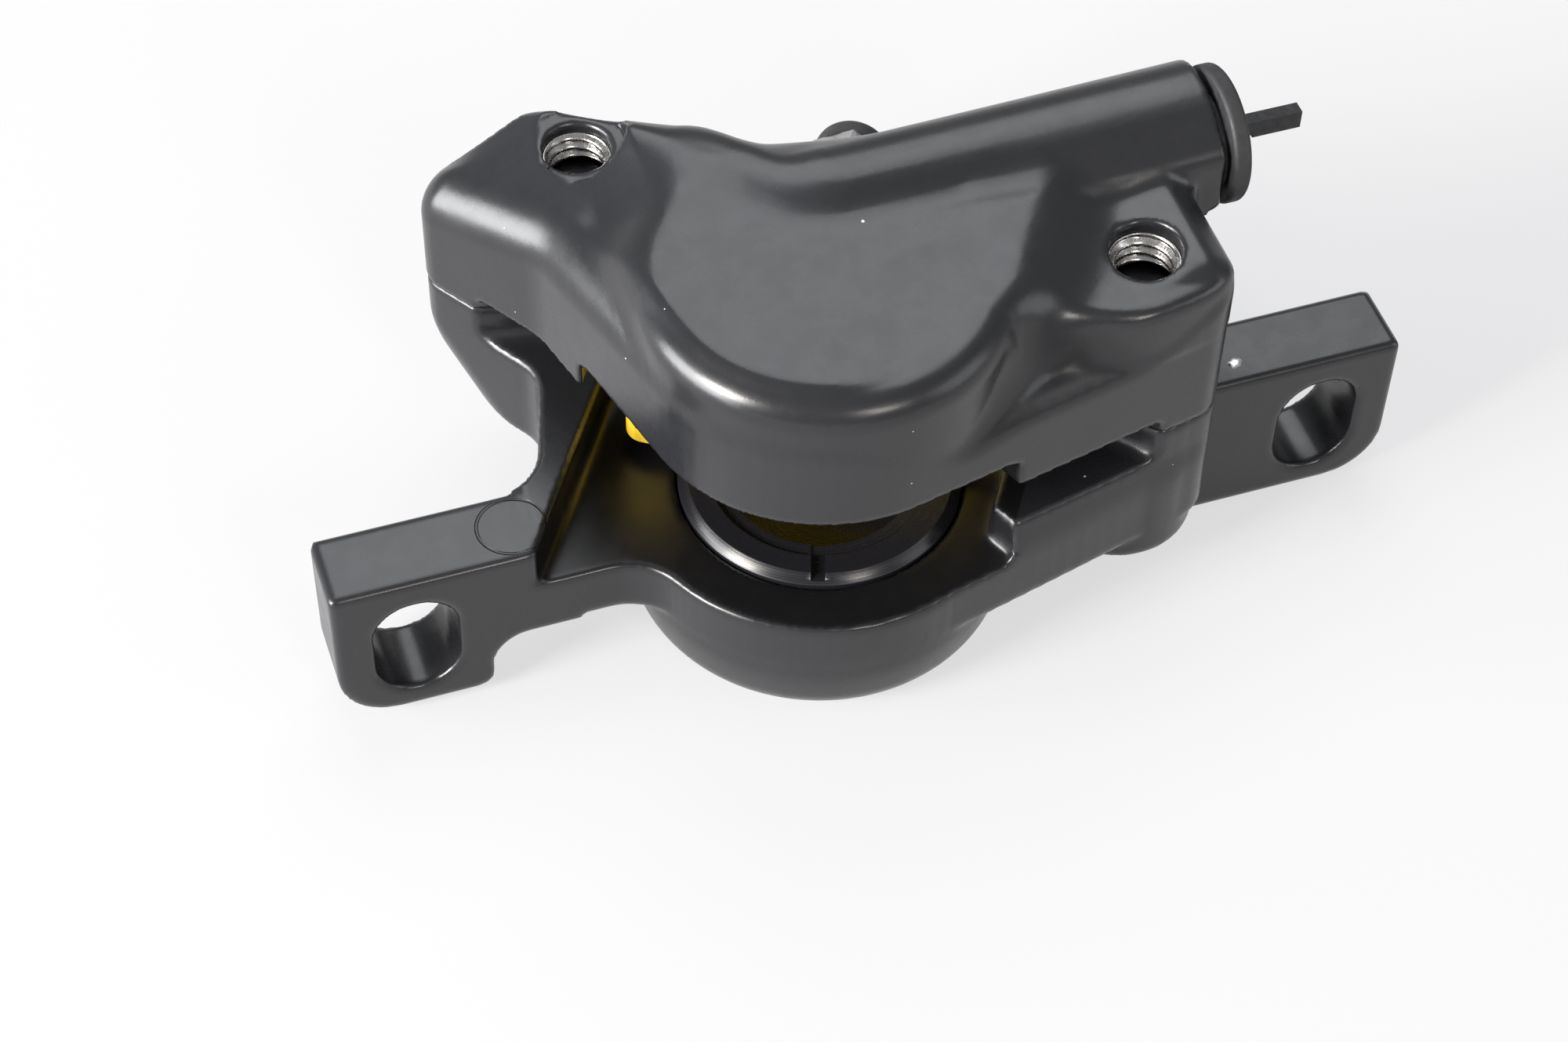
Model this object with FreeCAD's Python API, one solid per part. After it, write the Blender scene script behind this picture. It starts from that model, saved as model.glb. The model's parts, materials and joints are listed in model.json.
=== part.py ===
import FreeCAD, Part
import math
import os

from FreeCAD import Placement, Rotation, Vector

# Two-piece, two-piston post-mount hydraulic disc brake caliper, in millimetres.
#
# Frame: the origin is the midpoint between the two mounting slots on the ears' post face.
# X runs along the line of the mounting slots, Y points away from the frame's posts,
# Z is the piston axis, from the mount half towards the outer half.
# The casting itself is turned about Z against the mounting line. Points written as (u, v)
# are in that turned frame, whose origin is the piston axis: u runs along the pad pocket,
# v points out of the pocket's open back.

# Mounting ears
SLOT_SPACING = 74.0
SLOT_WIDTH = 6.6
SLOT_LENGTH = 9.8
EAR_END_MARGIN = 6.3
EAR_THICKNESS = 6.4
EAR_BOTTOM_Z = -6.9
EAR_CORNER_RADIUS = 4.6
EAR_INNER_REACH = 5.8
EAR_INNER_RADIUS = 1.4
EAR_ROOT_RADIUS = 2.4
EAR_EDGE_RADIUS = 0.35
RIGHT_EAR_ROOT_X = 22.0

# Levels along the piston axis, measured from the rotor's middle plane
ROTOR_MID_Z = 9.3
MOUNT_LAND_DROP = 1.7
OUTER_LAND_RISE = 2.7
POCKET_HALF_WIDTH = 5.5
PARTING_DROP = 1.3
OUTER_FACE_HEIGHT = 17.7
MOUNT_BOSS_DEPTH = 17.0
ARM_DEPTH = 10.9
COLUMN_DEPTH = 12.8

# Piston axis and the turn of the casting
PISTON_AXIS_X = -3.8
PISTON_AXIS_Y = 3.9
CASTING_TURN_DEG = -32.5

# Pad pocket, in the turned frame
POCKET_LEFT_U = -18.0
POCKET_RIGHT_U = 14.0
POCKET_RELIEF_START_V = -2.4
POCKET_RELIEF_U = 15.9
POCKET_RELIEF_V = -5.0
ROTOR_CLEARANCE_RADIUS = 84.0
ROTOR_CLEARANCE_REACH_V = 9.0
ROTOR_SLOT_CORNER = 1.1

# Pistons, bores and seals
PISTON_DIAMETER = 22.0
PISTON_CLEARANCE = 0.03
PISTON_LENGTH = 8.0
PISTON_PROUD = 0.8
PISTON_RIM_CHAMFER = 0.7
PISTON_RECESS_RADIUS = 7.3
PISTON_RECESS_DEPTH = 4.6
PISTON_FACE_LIP = 2.4
PISTON_FACE_SINK = 0.35
PISTON_NOTCH_WIDTH = 1.1
PISTON_NOTCH_DEPTH = 0.45
PISTON_NOTCH_DEG = -19.5
PISTON_REAR_CHAMFER = 0.8
BORE_END_GAP = 1.0
BORE_MOUTH_CHAMFER = 0.3
SEAL_SECTION = 2.1
SEAL_GAP = 0.02
SEAL_FROM_MOUTH = 2.4

# Piston bosses of the two castings
OUTER_BOSS_RADIUS = 14.2
OUTER_BOSS_RIM = 1.8
OUTER_LEFT_FLANK_DEG = -76.1
OUTER_RIGHT_FLANK_DEG = 12.1
MOUNT_BOSS_RADIUS = 15.2
MOUNT_BOSS_FOOT_RADIUS = 14.5
MOUNT_BOSS_EDGE = 3.0
MOUNT_LEFT_FLANK_DEG = -62.0
MOUNT_RIGHT_FLANK_DEG = 14.2
MOUNT_FLANK_LEAN = 1.0
LEFT_TAPER_X = -24.4
LEFT_TAPER_FRONT_Y = 12.0
LEFT_TAPER_DEG = 62.0
ARM_BLEND = 5.0
COLUMN_EDGE = 1.0
COLUMN_CORNER = 3.0
SIDE_X = 25.9

# Body bolts (M6 socket head), in the turned frame
BOLT_U = 21.8
BOLT_V = 9.8
BOLT_DIAMETER = 6.0
BOLT_CLEARANCE = 0.12
BOLT_HEAD_DIAMETER = 10.0
BOLT_HEAD_HEIGHT = 6.0
BOLT_HEAD_PROUD = 1.5
BOLT_HEAD_GAP = 0.25
BOLT_HEAD_EDGE = 0.5
BOLT_LENGTH = 20.0
BOLT_SOCKET_FLATS = 5.0
BOLT_SOCKET_DEPTH = 3.0
BOLT_TIP_CHAMFER = 0.6
BOLT_BOSS_WALL = 1.2
BOLT_BOSS_EDGE = 0.6
BOLT_TIP_GAP = 0.3
THREAD_CORE_DIAMETER = 5.0
THREAD_FIT = 0.02
THREAD_MOUTH_CHAMFER = 0.3

# Outer casting's upper levels, measured down from the piston boss's face
SHOULDER_DROP = 3.4
SHOULDER_EDGE = 2.8
RIGHT_PAD_DROP = 2.1
RIGHT_PAD_RADIUS = 6.9
RIGHT_PAD_EDGE = 1.0
WING_DROP = 2.6
WING_BEND_X = -18.5
WING_BEND_RADIUS = 10.0
WING_SLOPE_DEG = 23.0
WING_EDGE = 2.2
WING_INNER_X = -9.0
SPOT_RADIUS = 3.9

# Hose barrel
BARREL_AXIS_Y = 11.2
BARREL_AXIS_Z = 23.6
BARREL_END_X = 29.0
BARREL_BEND_X = -2.5
HOSE_THREAD_RADIUS = 4.0
HOSE_THREAD_DEPTH = 6.5
HOSE_SEAT_RADIUS = 2.6
HOSE_SEAT_DEPTH = 10.0
PASSAGE_RADIUS = 1.0
PASSAGE_END_X = -6.0

# Ridge's leg, from the barrel's bend to the left bolt
LEG_CREST_X = -13.9
LEG_CREST_Y = 19.6
LEG_SECTION_DEG = 49.5

# Hose port plug
PLUG_GAP = 0.4
PLUG_FLANGE_RADIUS = 5.4
PLUG_FLANGE_THICKNESS = 1.4
PLUG_FLANGE_RISE = 0.3
PLUG_FLANGE_EDGE = 0.35
PLUG_STEM_CLEARANCE = 0.02
PLUG_STEM_LENGTH = 5.6
PLUG_TAB_LENGTH = 6.2
PLUG_TAB_HEIGHT = 1.6
PLUG_TAB_THICKNESS = 1.1
PLUG_TAB_NECK_LENGTH = 2.2
PLUG_TAB_NECK_HEIGHT = 1.3

# Transfer passage between the halves
PORT_X = 21.4
PORT_Y = 11.2
PORT_HOLE_RADIUS = 0.85
PORT_SEAL_WIDTH = 1.5
PORT_SEAL_RADIUS = 2.5
PORT_GROOVE_DEPTH = 1.2
PORT_SEAL_EDGE = 0.35
OUTER_PASSAGE_TOP_X = 15.4
MOUNT_PASSAGE_Z = -3.2
MOUNT_RIB_RADIUS = 2.9
MOUNT_RIB_INSET = 0.4
BALL_RADIUS = 1.3
BALL_FIT = 0.01
BALL_SINK = 0.5

# Bleed nipple, on an axis that leans back and down from its seat
NIPPLE_U = -2.7
NIPPLE_SEAT_V = 14.4
NIPPLE_SEAT_Z = 19.6
NIPPLE_LEAN_DEG = 14.0
NIPPLE_PASSAGE_V = 10.2
NIPPLE_PASSAGE_Z = 22.6
NIPPLE_BOSS_ROOT = 3.0
NIPPLE_BOSS_END = 2.6
NIPPLE_BOSS_RADIUS = 3.7
NIPPLE_THREAD_RADIUS = 2.6
NIPPLE_CLEARANCE = 0.03
NIPPLE_SEAT_GAP = 0.05
NIPPLE_HEX_GAP = 0.2
NIPPLE_HEX_FLATS = 6.0
NIPPLE_HEX_LENGTH = 1.8
NIPPLE_TIP_RADIUS = 1.9
NIPPLE_TIP_LENGTH = 1.7
NIPPLE_BORE_RADIUS = 0.8
NIPPLE_CROSS_HOLE = 1.2
NIPPLE_SPOT_GAP = 0.4
CAP_RADIUS = 3.1
CAP_END_WALL = 0.9
CAP_EDGE = 0.9
CAP_FIT = 0.02

# Pad pin and its retaining ring, in the turned frame
PIN_U = 5.6
PIN_V = 17.4
PIN_RADIUS = 1.9
PIN_CLEARANCE = 0.05
PIN_HEAD_RADIUS = 3.0
PIN_HEAD_LENGTH = 2.0
PIN_HEAD_GAP = 0.1
PIN_SEAT_Z = 0.6
PIN_BOSS_RADIUS = 4.9
PIN_BOSS_EDGE = 0.8
PIN_SOCKET_FLATS = 3.0
PIN_SOCKET_DEPTH = 1.3
PIN_TIP_DEPTH = 3.4
PIN_TIP_CHAMFER = 0.4
PIN_TIP_GAP = 0.2
CLIP_WIRE = 0.8
CLIP_BITE = 0.35
CLIP_FIT = 0.02
CLIP_BELOW_HEAD = 0.05
CLIP_OPENING_DEG = 70.0
PIN_MOUTH_WALL = 0.7

# Plastic pad spacer, in the turned frame
SPACER_LEFT_U = -15.4
SPACER_RIGHT_U = 13.3
SPACER_FRONT_V = 3.0
SPACER_FOOT_FRONT_V = -1.7
SPACER_FOOT_RIGHT_U = -10.4
SPACER_BACK_V = 25.0
SPACER_HALF_THICKNESS = 3.7
SPACER_CORNER = 1.6
SPACER_RIB_WIDTH = 2.0
SPACER_RIB_FRONT_V = 4.6
SPACER_RIB_GAP = 0.03
SPACER_PIN_GAP = 0.06
SPACER_GRIP_FROM_V = 21.0
SPACER_GRIP_HALF_THICKNESS = 1.6

# Ejector pin mark on the left ear's top face
EJECTOR_RADIUS = 2.65
EJECTOR_SINK = 0.12
EJECTOR_LINE = 0.14
EJECTOR_FROM_SLOT = 8.5

# Plan outlines in the part's frame: (x, y, corner radius)
BACK_OUTLINE = (
    (SIDE_X, 17.0, 3.0),
    (9.0, 18.8, 6.0),
    (-5.5, 21.0, 5.0),
    (-12.5, 27.4, 4.0),
    (-18.0, 29.4, 6.0),
    (-30.4, 29.7, 2.6),
)
MOUNT_LEFT_OUTLINE = (
    (-22.4, 17.4, 4.0),
    (-25.6, EAR_THICKNESS, 5.0),
)
OUTER_LEFT_OUTLINE = ((-21.6, 17.4, 8.0),)
# Cross-section of the hose barrel at its bend: (y, z, corner radius)
BARREL_SECTION = (
    (5.3, 15.0, 0),
    (5.3, 25.4, 2.0),
    (10.2, 28.8, 1.0),
    (17.1, 28.8, 4.6),
    (17.1, 15.0, 0),
)
# Cross-section of the leg at the left bolt: (distance behind the crest, z, corner radius)
LEG_SECTION = (
    (-2.6, 15.0, 0),
    (-2.6, 24.6, 1.4),
    (0.0, 28.5, 0.9),
    (4.6, 28.5, 2.8),
    (4.6, 15.0, 0),
)

# Levels and places worked out from the numbers above
FLOOR_Z = ROTOR_MID_Z - POCKET_HALF_WIDTH
CEILING_Z = ROTOR_MID_Z + POCKET_HALF_WIDTH
LAND_Z = ROTOR_MID_Z - MOUNT_LAND_DROP
OUTER_LAND_Z = ROTOR_MID_Z + OUTER_LAND_RISE
PARTING_Z = ROTOR_MID_Z + PARTING_DROP
OUTER_FACE_Z = ROTOR_MID_Z + OUTER_FACE_HEIGHT
SHOULDER_Z = OUTER_FACE_Z - SHOULDER_DROP
RIGHT_PAD_Z = OUTER_FACE_Z - RIGHT_PAD_DROP
WING_Z = OUTER_FACE_Z - WING_DROP
BOSS_BOTTOM_Z = ROTOR_MID_Z - MOUNT_BOSS_DEPTH
ARM_BOTTOM_Z = ROTOR_MID_Z - ARM_DEPTH
COLUMN_BOTTOM_Z = ROTOR_MID_Z - COLUMN_DEPTH
EAR_END_X = SLOT_SPACING / 2 + EAR_END_MARGIN
LEFT_EAR_INNER_X = -SLOT_SPACING / 2 + EAR_INNER_REACH
PISTON_RADIUS = PISTON_DIAMETER / 2
BORE_RADIUS = PISTON_RADIUS + PISTON_CLEARANCE
MOUNT_PISTON_FACE_Z = FLOOR_Z + PISTON_PROUD
OUTER_PISTON_FACE_Z = CEILING_Z - PISTON_PROUD
BORE_DEPTH = PISTON_LENGTH - PISTON_PROUD + BORE_END_GAP
BOLT_RADIUS = BOLT_DIAMETER / 2
BOLT_HEAD_Z = COLUMN_BOTTOM_Z - BOLT_HEAD_PROUD
BOLT_SEAT_Z = BOLT_HEAD_Z + BOLT_HEAD_HEIGHT
BOLT_TIP_Z = BOLT_SEAT_Z + BOLT_LENGTH
BOLT_HEAD_HOLE_RADIUS = BOLT_HEAD_DIAMETER / 2 + BOLT_HEAD_GAP
PIN_HEAD_Z = PIN_SEAT_Z - PIN_HEAD_LENGTH
PIN_HEAD_HOLE_RADIUS = PIN_HEAD_RADIUS + PIN_HEAD_GAP
CLIP_OUTER_RADIUS = PIN_HEAD_HOLE_RADIUS + CLIP_BITE
CLIP_Z = PIN_HEAD_Z - CLIP_BELOW_HEAD - CLIP_WIRE / 2
PIN_BOSS_Z = CLIP_Z - CLIP_WIRE / 2 - PIN_MOUTH_WALL
NIPPLE_HEX_START = NIPPLE_BOSS_END + NIPPLE_HEX_GAP
NIPPLE_TIP_START = NIPPLE_HEX_START + NIPPLE_HEX_LENGTH
NIPPLE_END = NIPPLE_TIP_START + NIPPLE_TIP_LENGTH
OVERRUN = 40.0
PAST_FACE = 1.0
LEVEL_TOLERANCE = 0.01

AXIS = Vector(PISTON_AXIS_X, PISTON_AXIS_Y, 0)
UP = Vector(0, 0, 1)
ALONG_X = Vector(1, 0, 0)
ALONG_Y = Vector(0, 1, 0)
TURN = Placement(AXIS, Rotation(UP, CASTING_TURN_DEG))


def turned(shape):
    """Move a shape from the turned (u, v) frame into the part's frame."""
    moved = shape.copy()
    moved.Placement = TURN.multiply(moved.Placement)
    return moved


def turned_point(u, v, z):
    """Give the part-frame position of a point in the turned frame."""
    return TURN.multVec(Vector(u, v, z))


def cylinder(radius, base, direction, length):
    """Make a cylinder from its base point along a direction."""
    return Part.makeCylinder(radius, length, base, direction)


def disc(radius, centre, z0, z1):
    """Make an upright cylinder between two levels."""
    return cylinder(radius, Vector(centre.x, centre.y, z0), UP, z1 - z0)


def cone(radius0, radius1, centre, z0, z1):
    """Make an upright cone between two levels."""
    return Part.makeCone(radius0, radius1, z1 - z0, Vector(centre.x, centre.y, z0), UP)


def box(x0, x1, y0, y1, z0, z1):
    """Make a box from its extents."""
    return Part.makeBox(x1 - x0, y1 - y0, z1 - z0, Vector(x0, y0, z0))


def rounded_wire(corners):
    """Make a closed wire from (point, radius) corners, each corner an arc of its radius."""
    starts = []
    ends = []
    mids = []
    count = len(corners)
    for index in range(count):
        point, radius = corners[index]
        before = corners[index - 1][0]
        after = corners[(index + 1) % count][0]
        to_before = (before - point).normalize()
        to_after = (after - point).normalize()
        half_angle = to_before.getAngle(to_after) / 2
        reach = radius / math.tan(half_angle)
        bisector = (to_before + to_after).normalize()
        centre = point + bisector * (radius / math.sin(half_angle))
        starts.append(point + to_before * reach)
        ends.append(point + to_after * reach)
        mids.append(centre - bisector * radius)
    edges = []
    for index in range(count):
        following = (index + 1) % count
        if corners[index][1] > 0:
            edges.append(Part.Arc(starts[index], mids[index], ends[index]).toShape())
        edges.append(Part.LineSegment(ends[index], starts[following]).toShape())
    return Part.Wire(edges)


def rounded_prism(corners, z0, z1):
    """Extrude a rounded plan outline between two levels."""
    raised = [(Vector(point.x, point.y, z0), radius) for point, radius in corners]
    return Part.Face(rounded_wire(raised)).extrude(Vector(0, 0, z1 - z0))


def hexagon(flats, base, direction, length):
    """Make a hexagonal prism across its flats, along a direction."""
    circumradius = flats / math.sqrt(3)
    points = []
    for step in range(6):
        angle = math.radians(60 * step)
        points.append(Vector(circumradius * math.cos(angle), circumradius * math.sin(angle), 0))
    prism = Part.Face(Part.makePolygon(points + [points[0]])).extrude(Vector(0, 0, length))
    prism.Placement = Placement(base, Rotation(UP, direction))
    return prism


def level_edges(shape, z):
    """Pick the edges that lie wholly at one level."""
    picked = []
    for edge in shape.Edges:
        bounds = edge.BoundBox
        if abs(bounds.ZMin - z) < LEVEL_TOLERANCE and abs(bounds.ZMax - z) < LEVEL_TOLERANCE:
            picked.append(edge)
    return picked


def tangent_line(radius, angle_deg, side):
    """Give a point and direction of the line at an angle, touching a circle about the piston axis."""
    angle = math.radians(angle_deg)
    direction = Vector(math.cos(angle), math.sin(angle), 0)
    normal = Vector(direction.y * side, -direction.x * side, 0)
    return AXIS + normal * radius, direction


def crossing(first, second):
    """Give the point where two plan lines cross."""
    point1, direction1 = first
    point2, direction2 = second
    gap = point2 - point1
    spread = direction1.x * direction2.y - direction1.y * direction2.x
    along = (gap.x * direction2.y - gap.y * direction2.x) / spread
    return point1 + direction1 * along


def along_line(line, x=None, y=None):
    """Give the point of a plan line at one x or one y."""
    point, direction = line
    if x is not None:
        return point + direction * ((x - point.x) / direction.x)
    return point + direction * ((y - point.y) / direction.y)


def pocket(z0, z1):
    """Cut shape of the pad pocket between two levels, open to the front and the back."""
    points = [
        Vector(POCKET_LEFT_U, -OVERRUN, z0),
        Vector(POCKET_RELIEF_U, -OVERRUN, z0),
        Vector(POCKET_RELIEF_U, POCKET_RELIEF_V, z0),
        Vector(POCKET_RIGHT_U, POCKET_RELIEF_START_V, z0),
        Vector(POCKET_RIGHT_U, OVERRUN, z0),
        Vector(POCKET_LEFT_U, OVERRUN, z0),
    ]
    face = Part.Face(Part.makePolygon(points + [points[0]]))
    return turned(face.extrude(Vector(0, 0, z1 - z0)))


def rotor_sweep(z0, z1, rounded_z):
    """Cut shape of the rotor's swept edge, with its corner rounded at one level."""
    centre = Vector(0, ROTOR_CLEARANCE_REACH_V - ROTOR_CLEARANCE_RADIUS, 0)
    sweep = disc(ROTOR_CLEARANCE_RADIUS, centre, z0, z1)
    return turned(sweep.makeFillet(ROTOR_SLOT_CORNER, level_edges(sweep, rounded_z)))


def bolt_centre(side):
    """Plan position of a body bolt: side is -1 for left, +1 for right."""
    return turned_point(side * BOLT_U, BOLT_V, 0)


def bore(mouth_z, towards):
    """Cut shape of one piston bore with its mouth chamfer and seal groove."""
    end_z = mouth_z + towards * BORE_DEPTH
    low, high = sorted((mouth_z, end_z))
    cut = disc(BORE_RADIUS, AXIS, low, high)
    lip_z = mouth_z + towards * BORE_MOUTH_CHAMFER
    lip_radius = BORE_RADIUS + BORE_MOUTH_CHAMFER
    if towards > 0:
        cut = cut.fuse(cone(lip_radius, BORE_RADIUS, AXIS, mouth_z, lip_z))
    else:
        cut = cut.fuse(cone(BORE_RADIUS, lip_radius, AXIS, lip_z, mouth_z))
    seal_low, seal_high = seal_levels(mouth_z, towards)
    return cut.fuse(disc(BORE_RADIUS + SEAL_SECTION, AXIS, seal_low, seal_high))


def seal_levels(mouth_z, towards):
    """Levels of the seal groove behind a bore mouth."""
    near = mouth_z + towards * SEAL_FROM_MOUTH
    far = near + towards * SEAL_SECTION
    return tuple(sorted((near, far)))


def nipple_axis():
    """Seat point and direction of the bleed nipple's axis."""
    start = turned_point(NIPPLE_U, NIPPLE_SEAT_V, NIPPLE_SEAT_Z)
    lean = math.radians(NIPPLE_LEAN_DEG)
    back = TURN.Rotation.multVec(Vector(0, math.cos(lean), -math.sin(lean)))
    return start, back


def mount_ear(side):
    """One mounting ear: side is -1 for left, +1 for right."""
    end_x = side * EAR_END_X
    corners = [(Vector(end_x, EAR_BOTTOM_Z, 0), EAR_CORNER_RADIUS)]
    corners.append((Vector(end_x, LAND_Z, 0), EAR_EDGE_RADIUS))
    if side < 0:
        root_x = LEFT_EAR_INNER_X + EAR_ROOT_RADIUS + EAR_EDGE_RADIUS
        corners.append((Vector(root_x, LAND_Z, 0), 0))
        corners.append((Vector(root_x, ARM_BOTTOM_Z, 0), 0))
        corners.append((Vector(LEFT_EAR_INNER_X, ARM_BOTTOM_Z, 0), EAR_ROOT_RADIUS))
        corners.append((Vector(LEFT_EAR_INNER_X, EAR_BOTTOM_Z, 0), EAR_INNER_RADIUS))
    else:
        corners.append((Vector(RIGHT_EAR_ROOT_X, LAND_Z, 0), 0))
        corners.append((Vector(RIGHT_EAR_ROOT_X, EAR_BOTTOM_Z, 0), EAR_INNER_RADIUS))
    plate = Part.Face(rounded_wire(corners)).extrude(Vector(0, 0, -EAR_THICKNESS))
    plate.Placement = Placement(Vector(0, 0, 0), Rotation(ALONG_X, 90))
    return plate


def ear_slot(side):
    """Cut shape of one mounting slot, long along the piston axis."""
    radius = SLOT_WIDTH / 2
    straight = (SLOT_LENGTH - SLOT_WIDTH) / 2
    x = side * SLOT_SPACING / 2
    back_y = EAR_THICKNESS + PAST_FACE
    cut = box(x - radius, x + radius, -PAST_FACE, back_y, -straight, straight)
    for end_z in (-straight, straight):
        base = Vector(x, -PAST_FACE, end_z)
        cut = cut.fuse(cylinder(radius, base, ALONG_Y, back_y + PAST_FACE))
    return cut


def outline_points(table):
    """Turn an outline table into (point, radius) corners."""
    return [(Vector(x, y, 0), radius) for x, y, radius in table]


def boss_toe(radius, left_deg, right_deg):
    """Corner whose arc of the given radius runs about the piston axis between two flanks."""
    left = tangent_line(radius, left_deg, 1)
    right = tangent_line(radius, right_deg, 1)
    return crossing(left, right), left, right


def mount_outline():
    """Plan outline of the mount half's casting between its ears."""
    toe, left, right = boss_toe(MOUNT_BOSS_RADIUS, MOUNT_LEFT_FLANK_DEG, MOUNT_RIGHT_FLANK_DEG)
    start_x = LEFT_EAR_INNER_X - EAR_INNER_RADIUS
    corners = [
        (Vector(start_x, 0, 0), 0),
        (along_line(left, y=0), ARM_BLEND),
        (toe, MOUNT_BOSS_RADIUS),
        (along_line(right, x=SIDE_X), COLUMN_CORNER),
    ]
    corners += outline_points(BACK_OUTLINE)
    corners += outline_points(MOUNT_LEFT_OUTLINE)
    corners.append((Vector(start_x, EAR_THICKNESS, 0), 0))
    return corners


def outer_outline():
    """Plan outline of the outer half's casting."""
    toe, left, right = boss_toe(OUTER_BOSS_RADIUS, OUTER_LEFT_FLANK_DEG, OUTER_RIGHT_FLANK_DEG)
    corners = [(toe, OUTER_BOSS_RADIUS)]
    corners.append((along_line(right, x=SIDE_X), COLUMN_CORNER))
    return corners + outline_points(BACK_OUTLINE) + outline_points(OUTER_LEFT_OUTLINE)


def rib_point(x):
    """Point at one x on the mount half's cross drilling, from the transfer port to the bore."""
    slope = (PORT_Y - AXIS.y) / (PORT_X - AXIS.x)
    return Vector(x, PORT_Y + slope * (x - PORT_X), MOUNT_PASSAGE_Z)


def rib_way():
    """Direction of the cross drilling, from the casting's side towards the bore."""
    return (rib_point(AXIS.x) - rib_point(SIDE_X)).normalize()


def chamfered_hole(radius, centre, z0, z1, chamfer):
    """Cut shape of an upright hole whose upper mouth at z1 has a chamfer."""
    hole = disc(radius, centre, z0, z1)
    return hole.fuse(cone(radius, radius + chamfer, centre, z1 - chamfer, z1))


def ring_groove(radius, centre, z, width, depth):
    """Cut shape of a thin circular line in a level face."""
    ring = disc(radius + width, centre, z - depth, z + depth)
    return ring.cut(disc(radius, centre, z - depth, z + depth))


def flank_lean():
    """Cut shape that brings the mount half's right flank in to the outer half's, above the floor."""
    point, way = tangent_line(OUTER_BOSS_RADIUS, OUTER_RIGHT_FLANK_DEG, 1)
    out = Vector(way.y, -way.x, 0)
    section = [
        point + UP * (PARTING_Z + PAST_FACE),
        point + UP * LAND_Z,
        point + out * MOUNT_FLANK_LEAN + UP * FLOOR_Z,
        point + out * OVERRUN + UP * FLOOR_Z,
        point + out * OVERRUN + UP * (PARTING_Z + PAST_FACE),
    ]
    return Part.Face(Part.makePolygon(section + [section[0]])).extrude(way * OVERRUN)


def left_taper():
    """Cut shape that raises the mount half's underside outwards past the left bolt column."""
    far_x = LEFT_TAPER_X - OVERRUN
    rise = math.tan(math.radians(LEFT_TAPER_DEG)) * OVERRUN
    section = [
        Vector(LEFT_TAPER_X, LEFT_TAPER_FRONT_Y, ARM_BOTTOM_Z),
        Vector(far_x, LEFT_TAPER_FRONT_Y, ARM_BOTTOM_Z + rise),
        Vector(far_x, LEFT_TAPER_FRONT_Y, ARM_BOTTOM_Z - OVERRUN),
        Vector(LEFT_TAPER_X, LEFT_TAPER_FRONT_Y, ARM_BOTTOM_Z - OVERRUN),
    ]
    return Part.Face(Part.makePolygon(section + [section[0]])).extrude(ALONG_Y * OVERRUN)


def mount_cuts():
    """Slopes, holes, bores and passages of the mount half."""
    cuts = [flank_lean(), left_taper(), ear_slot(-1), ear_slot(1)]
    cuts.append(rotor_sweep(LAND_Z, PARTING_Z + OVERRUN, LAND_Z))
    cuts.append(pocket(FLOOR_Z, PARTING_Z + OVERRUN))
    cuts.append(bore(FLOOR_Z, -1))
    for side in (-1, 1):
        centre = bolt_centre(side)
        cuts.append(disc(BOLT_HEAD_HOLE_RADIUS, centre, BOLT_HEAD_Z - OVERRUN, BOLT_SEAT_Z))
        cuts.append(disc(BOLT_RADIUS + BOLT_CLEARANCE, centre, BOLT_SEAT_Z, PARTING_Z))
    port = Vector(PORT_X, PORT_Y, 0)
    cuts.append(disc(PORT_HOLE_RADIUS, port, MOUNT_PASSAGE_Z, PARTING_Z))
    cuts.append(seal_ring(0))
    drill_start = rib_point(SIDE_X + PAST_FACE)
    cuts.append(cylinder(PASSAGE_RADIUS, drill_start, rib_way(), PORT_X))
    ball_way = BALL_SINK + MOUNT_RIB_INSET + 2 * BALL_RADIUS + PAST_FACE
    cuts.append(cylinder(BALL_RADIUS + BALL_FIT, drill_start, rib_way(), ball_way))
    pin = turned_point(PIN_U, PIN_V, 0)
    cuts.append(disc(PIN_RADIUS + PIN_CLEARANCE, pin, PIN_SEAT_Z, FLOOR_Z))
    cuts.append(disc(PIN_HEAD_HOLE_RADIUS, pin, PIN_BOSS_Z, PIN_SEAT_Z))
    half_groove = CLIP_WIRE / 2 + CLIP_FIT
    cuts.append(disc(CLIP_OUTER_RADIUS + CLIP_FIT, pin, CLIP_Z - half_groove, CLIP_Z + half_groove))
    mark = Vector(EJECTOR_FROM_SLOT - SLOT_SPACING / 2, EAR_THICKNESS / 2, 0)
    cuts.append(ring_groove(EJECTOR_RADIUS, mark, LAND_Z, EJECTOR_LINE, EJECTOR_SINK))
    return cuts


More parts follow.
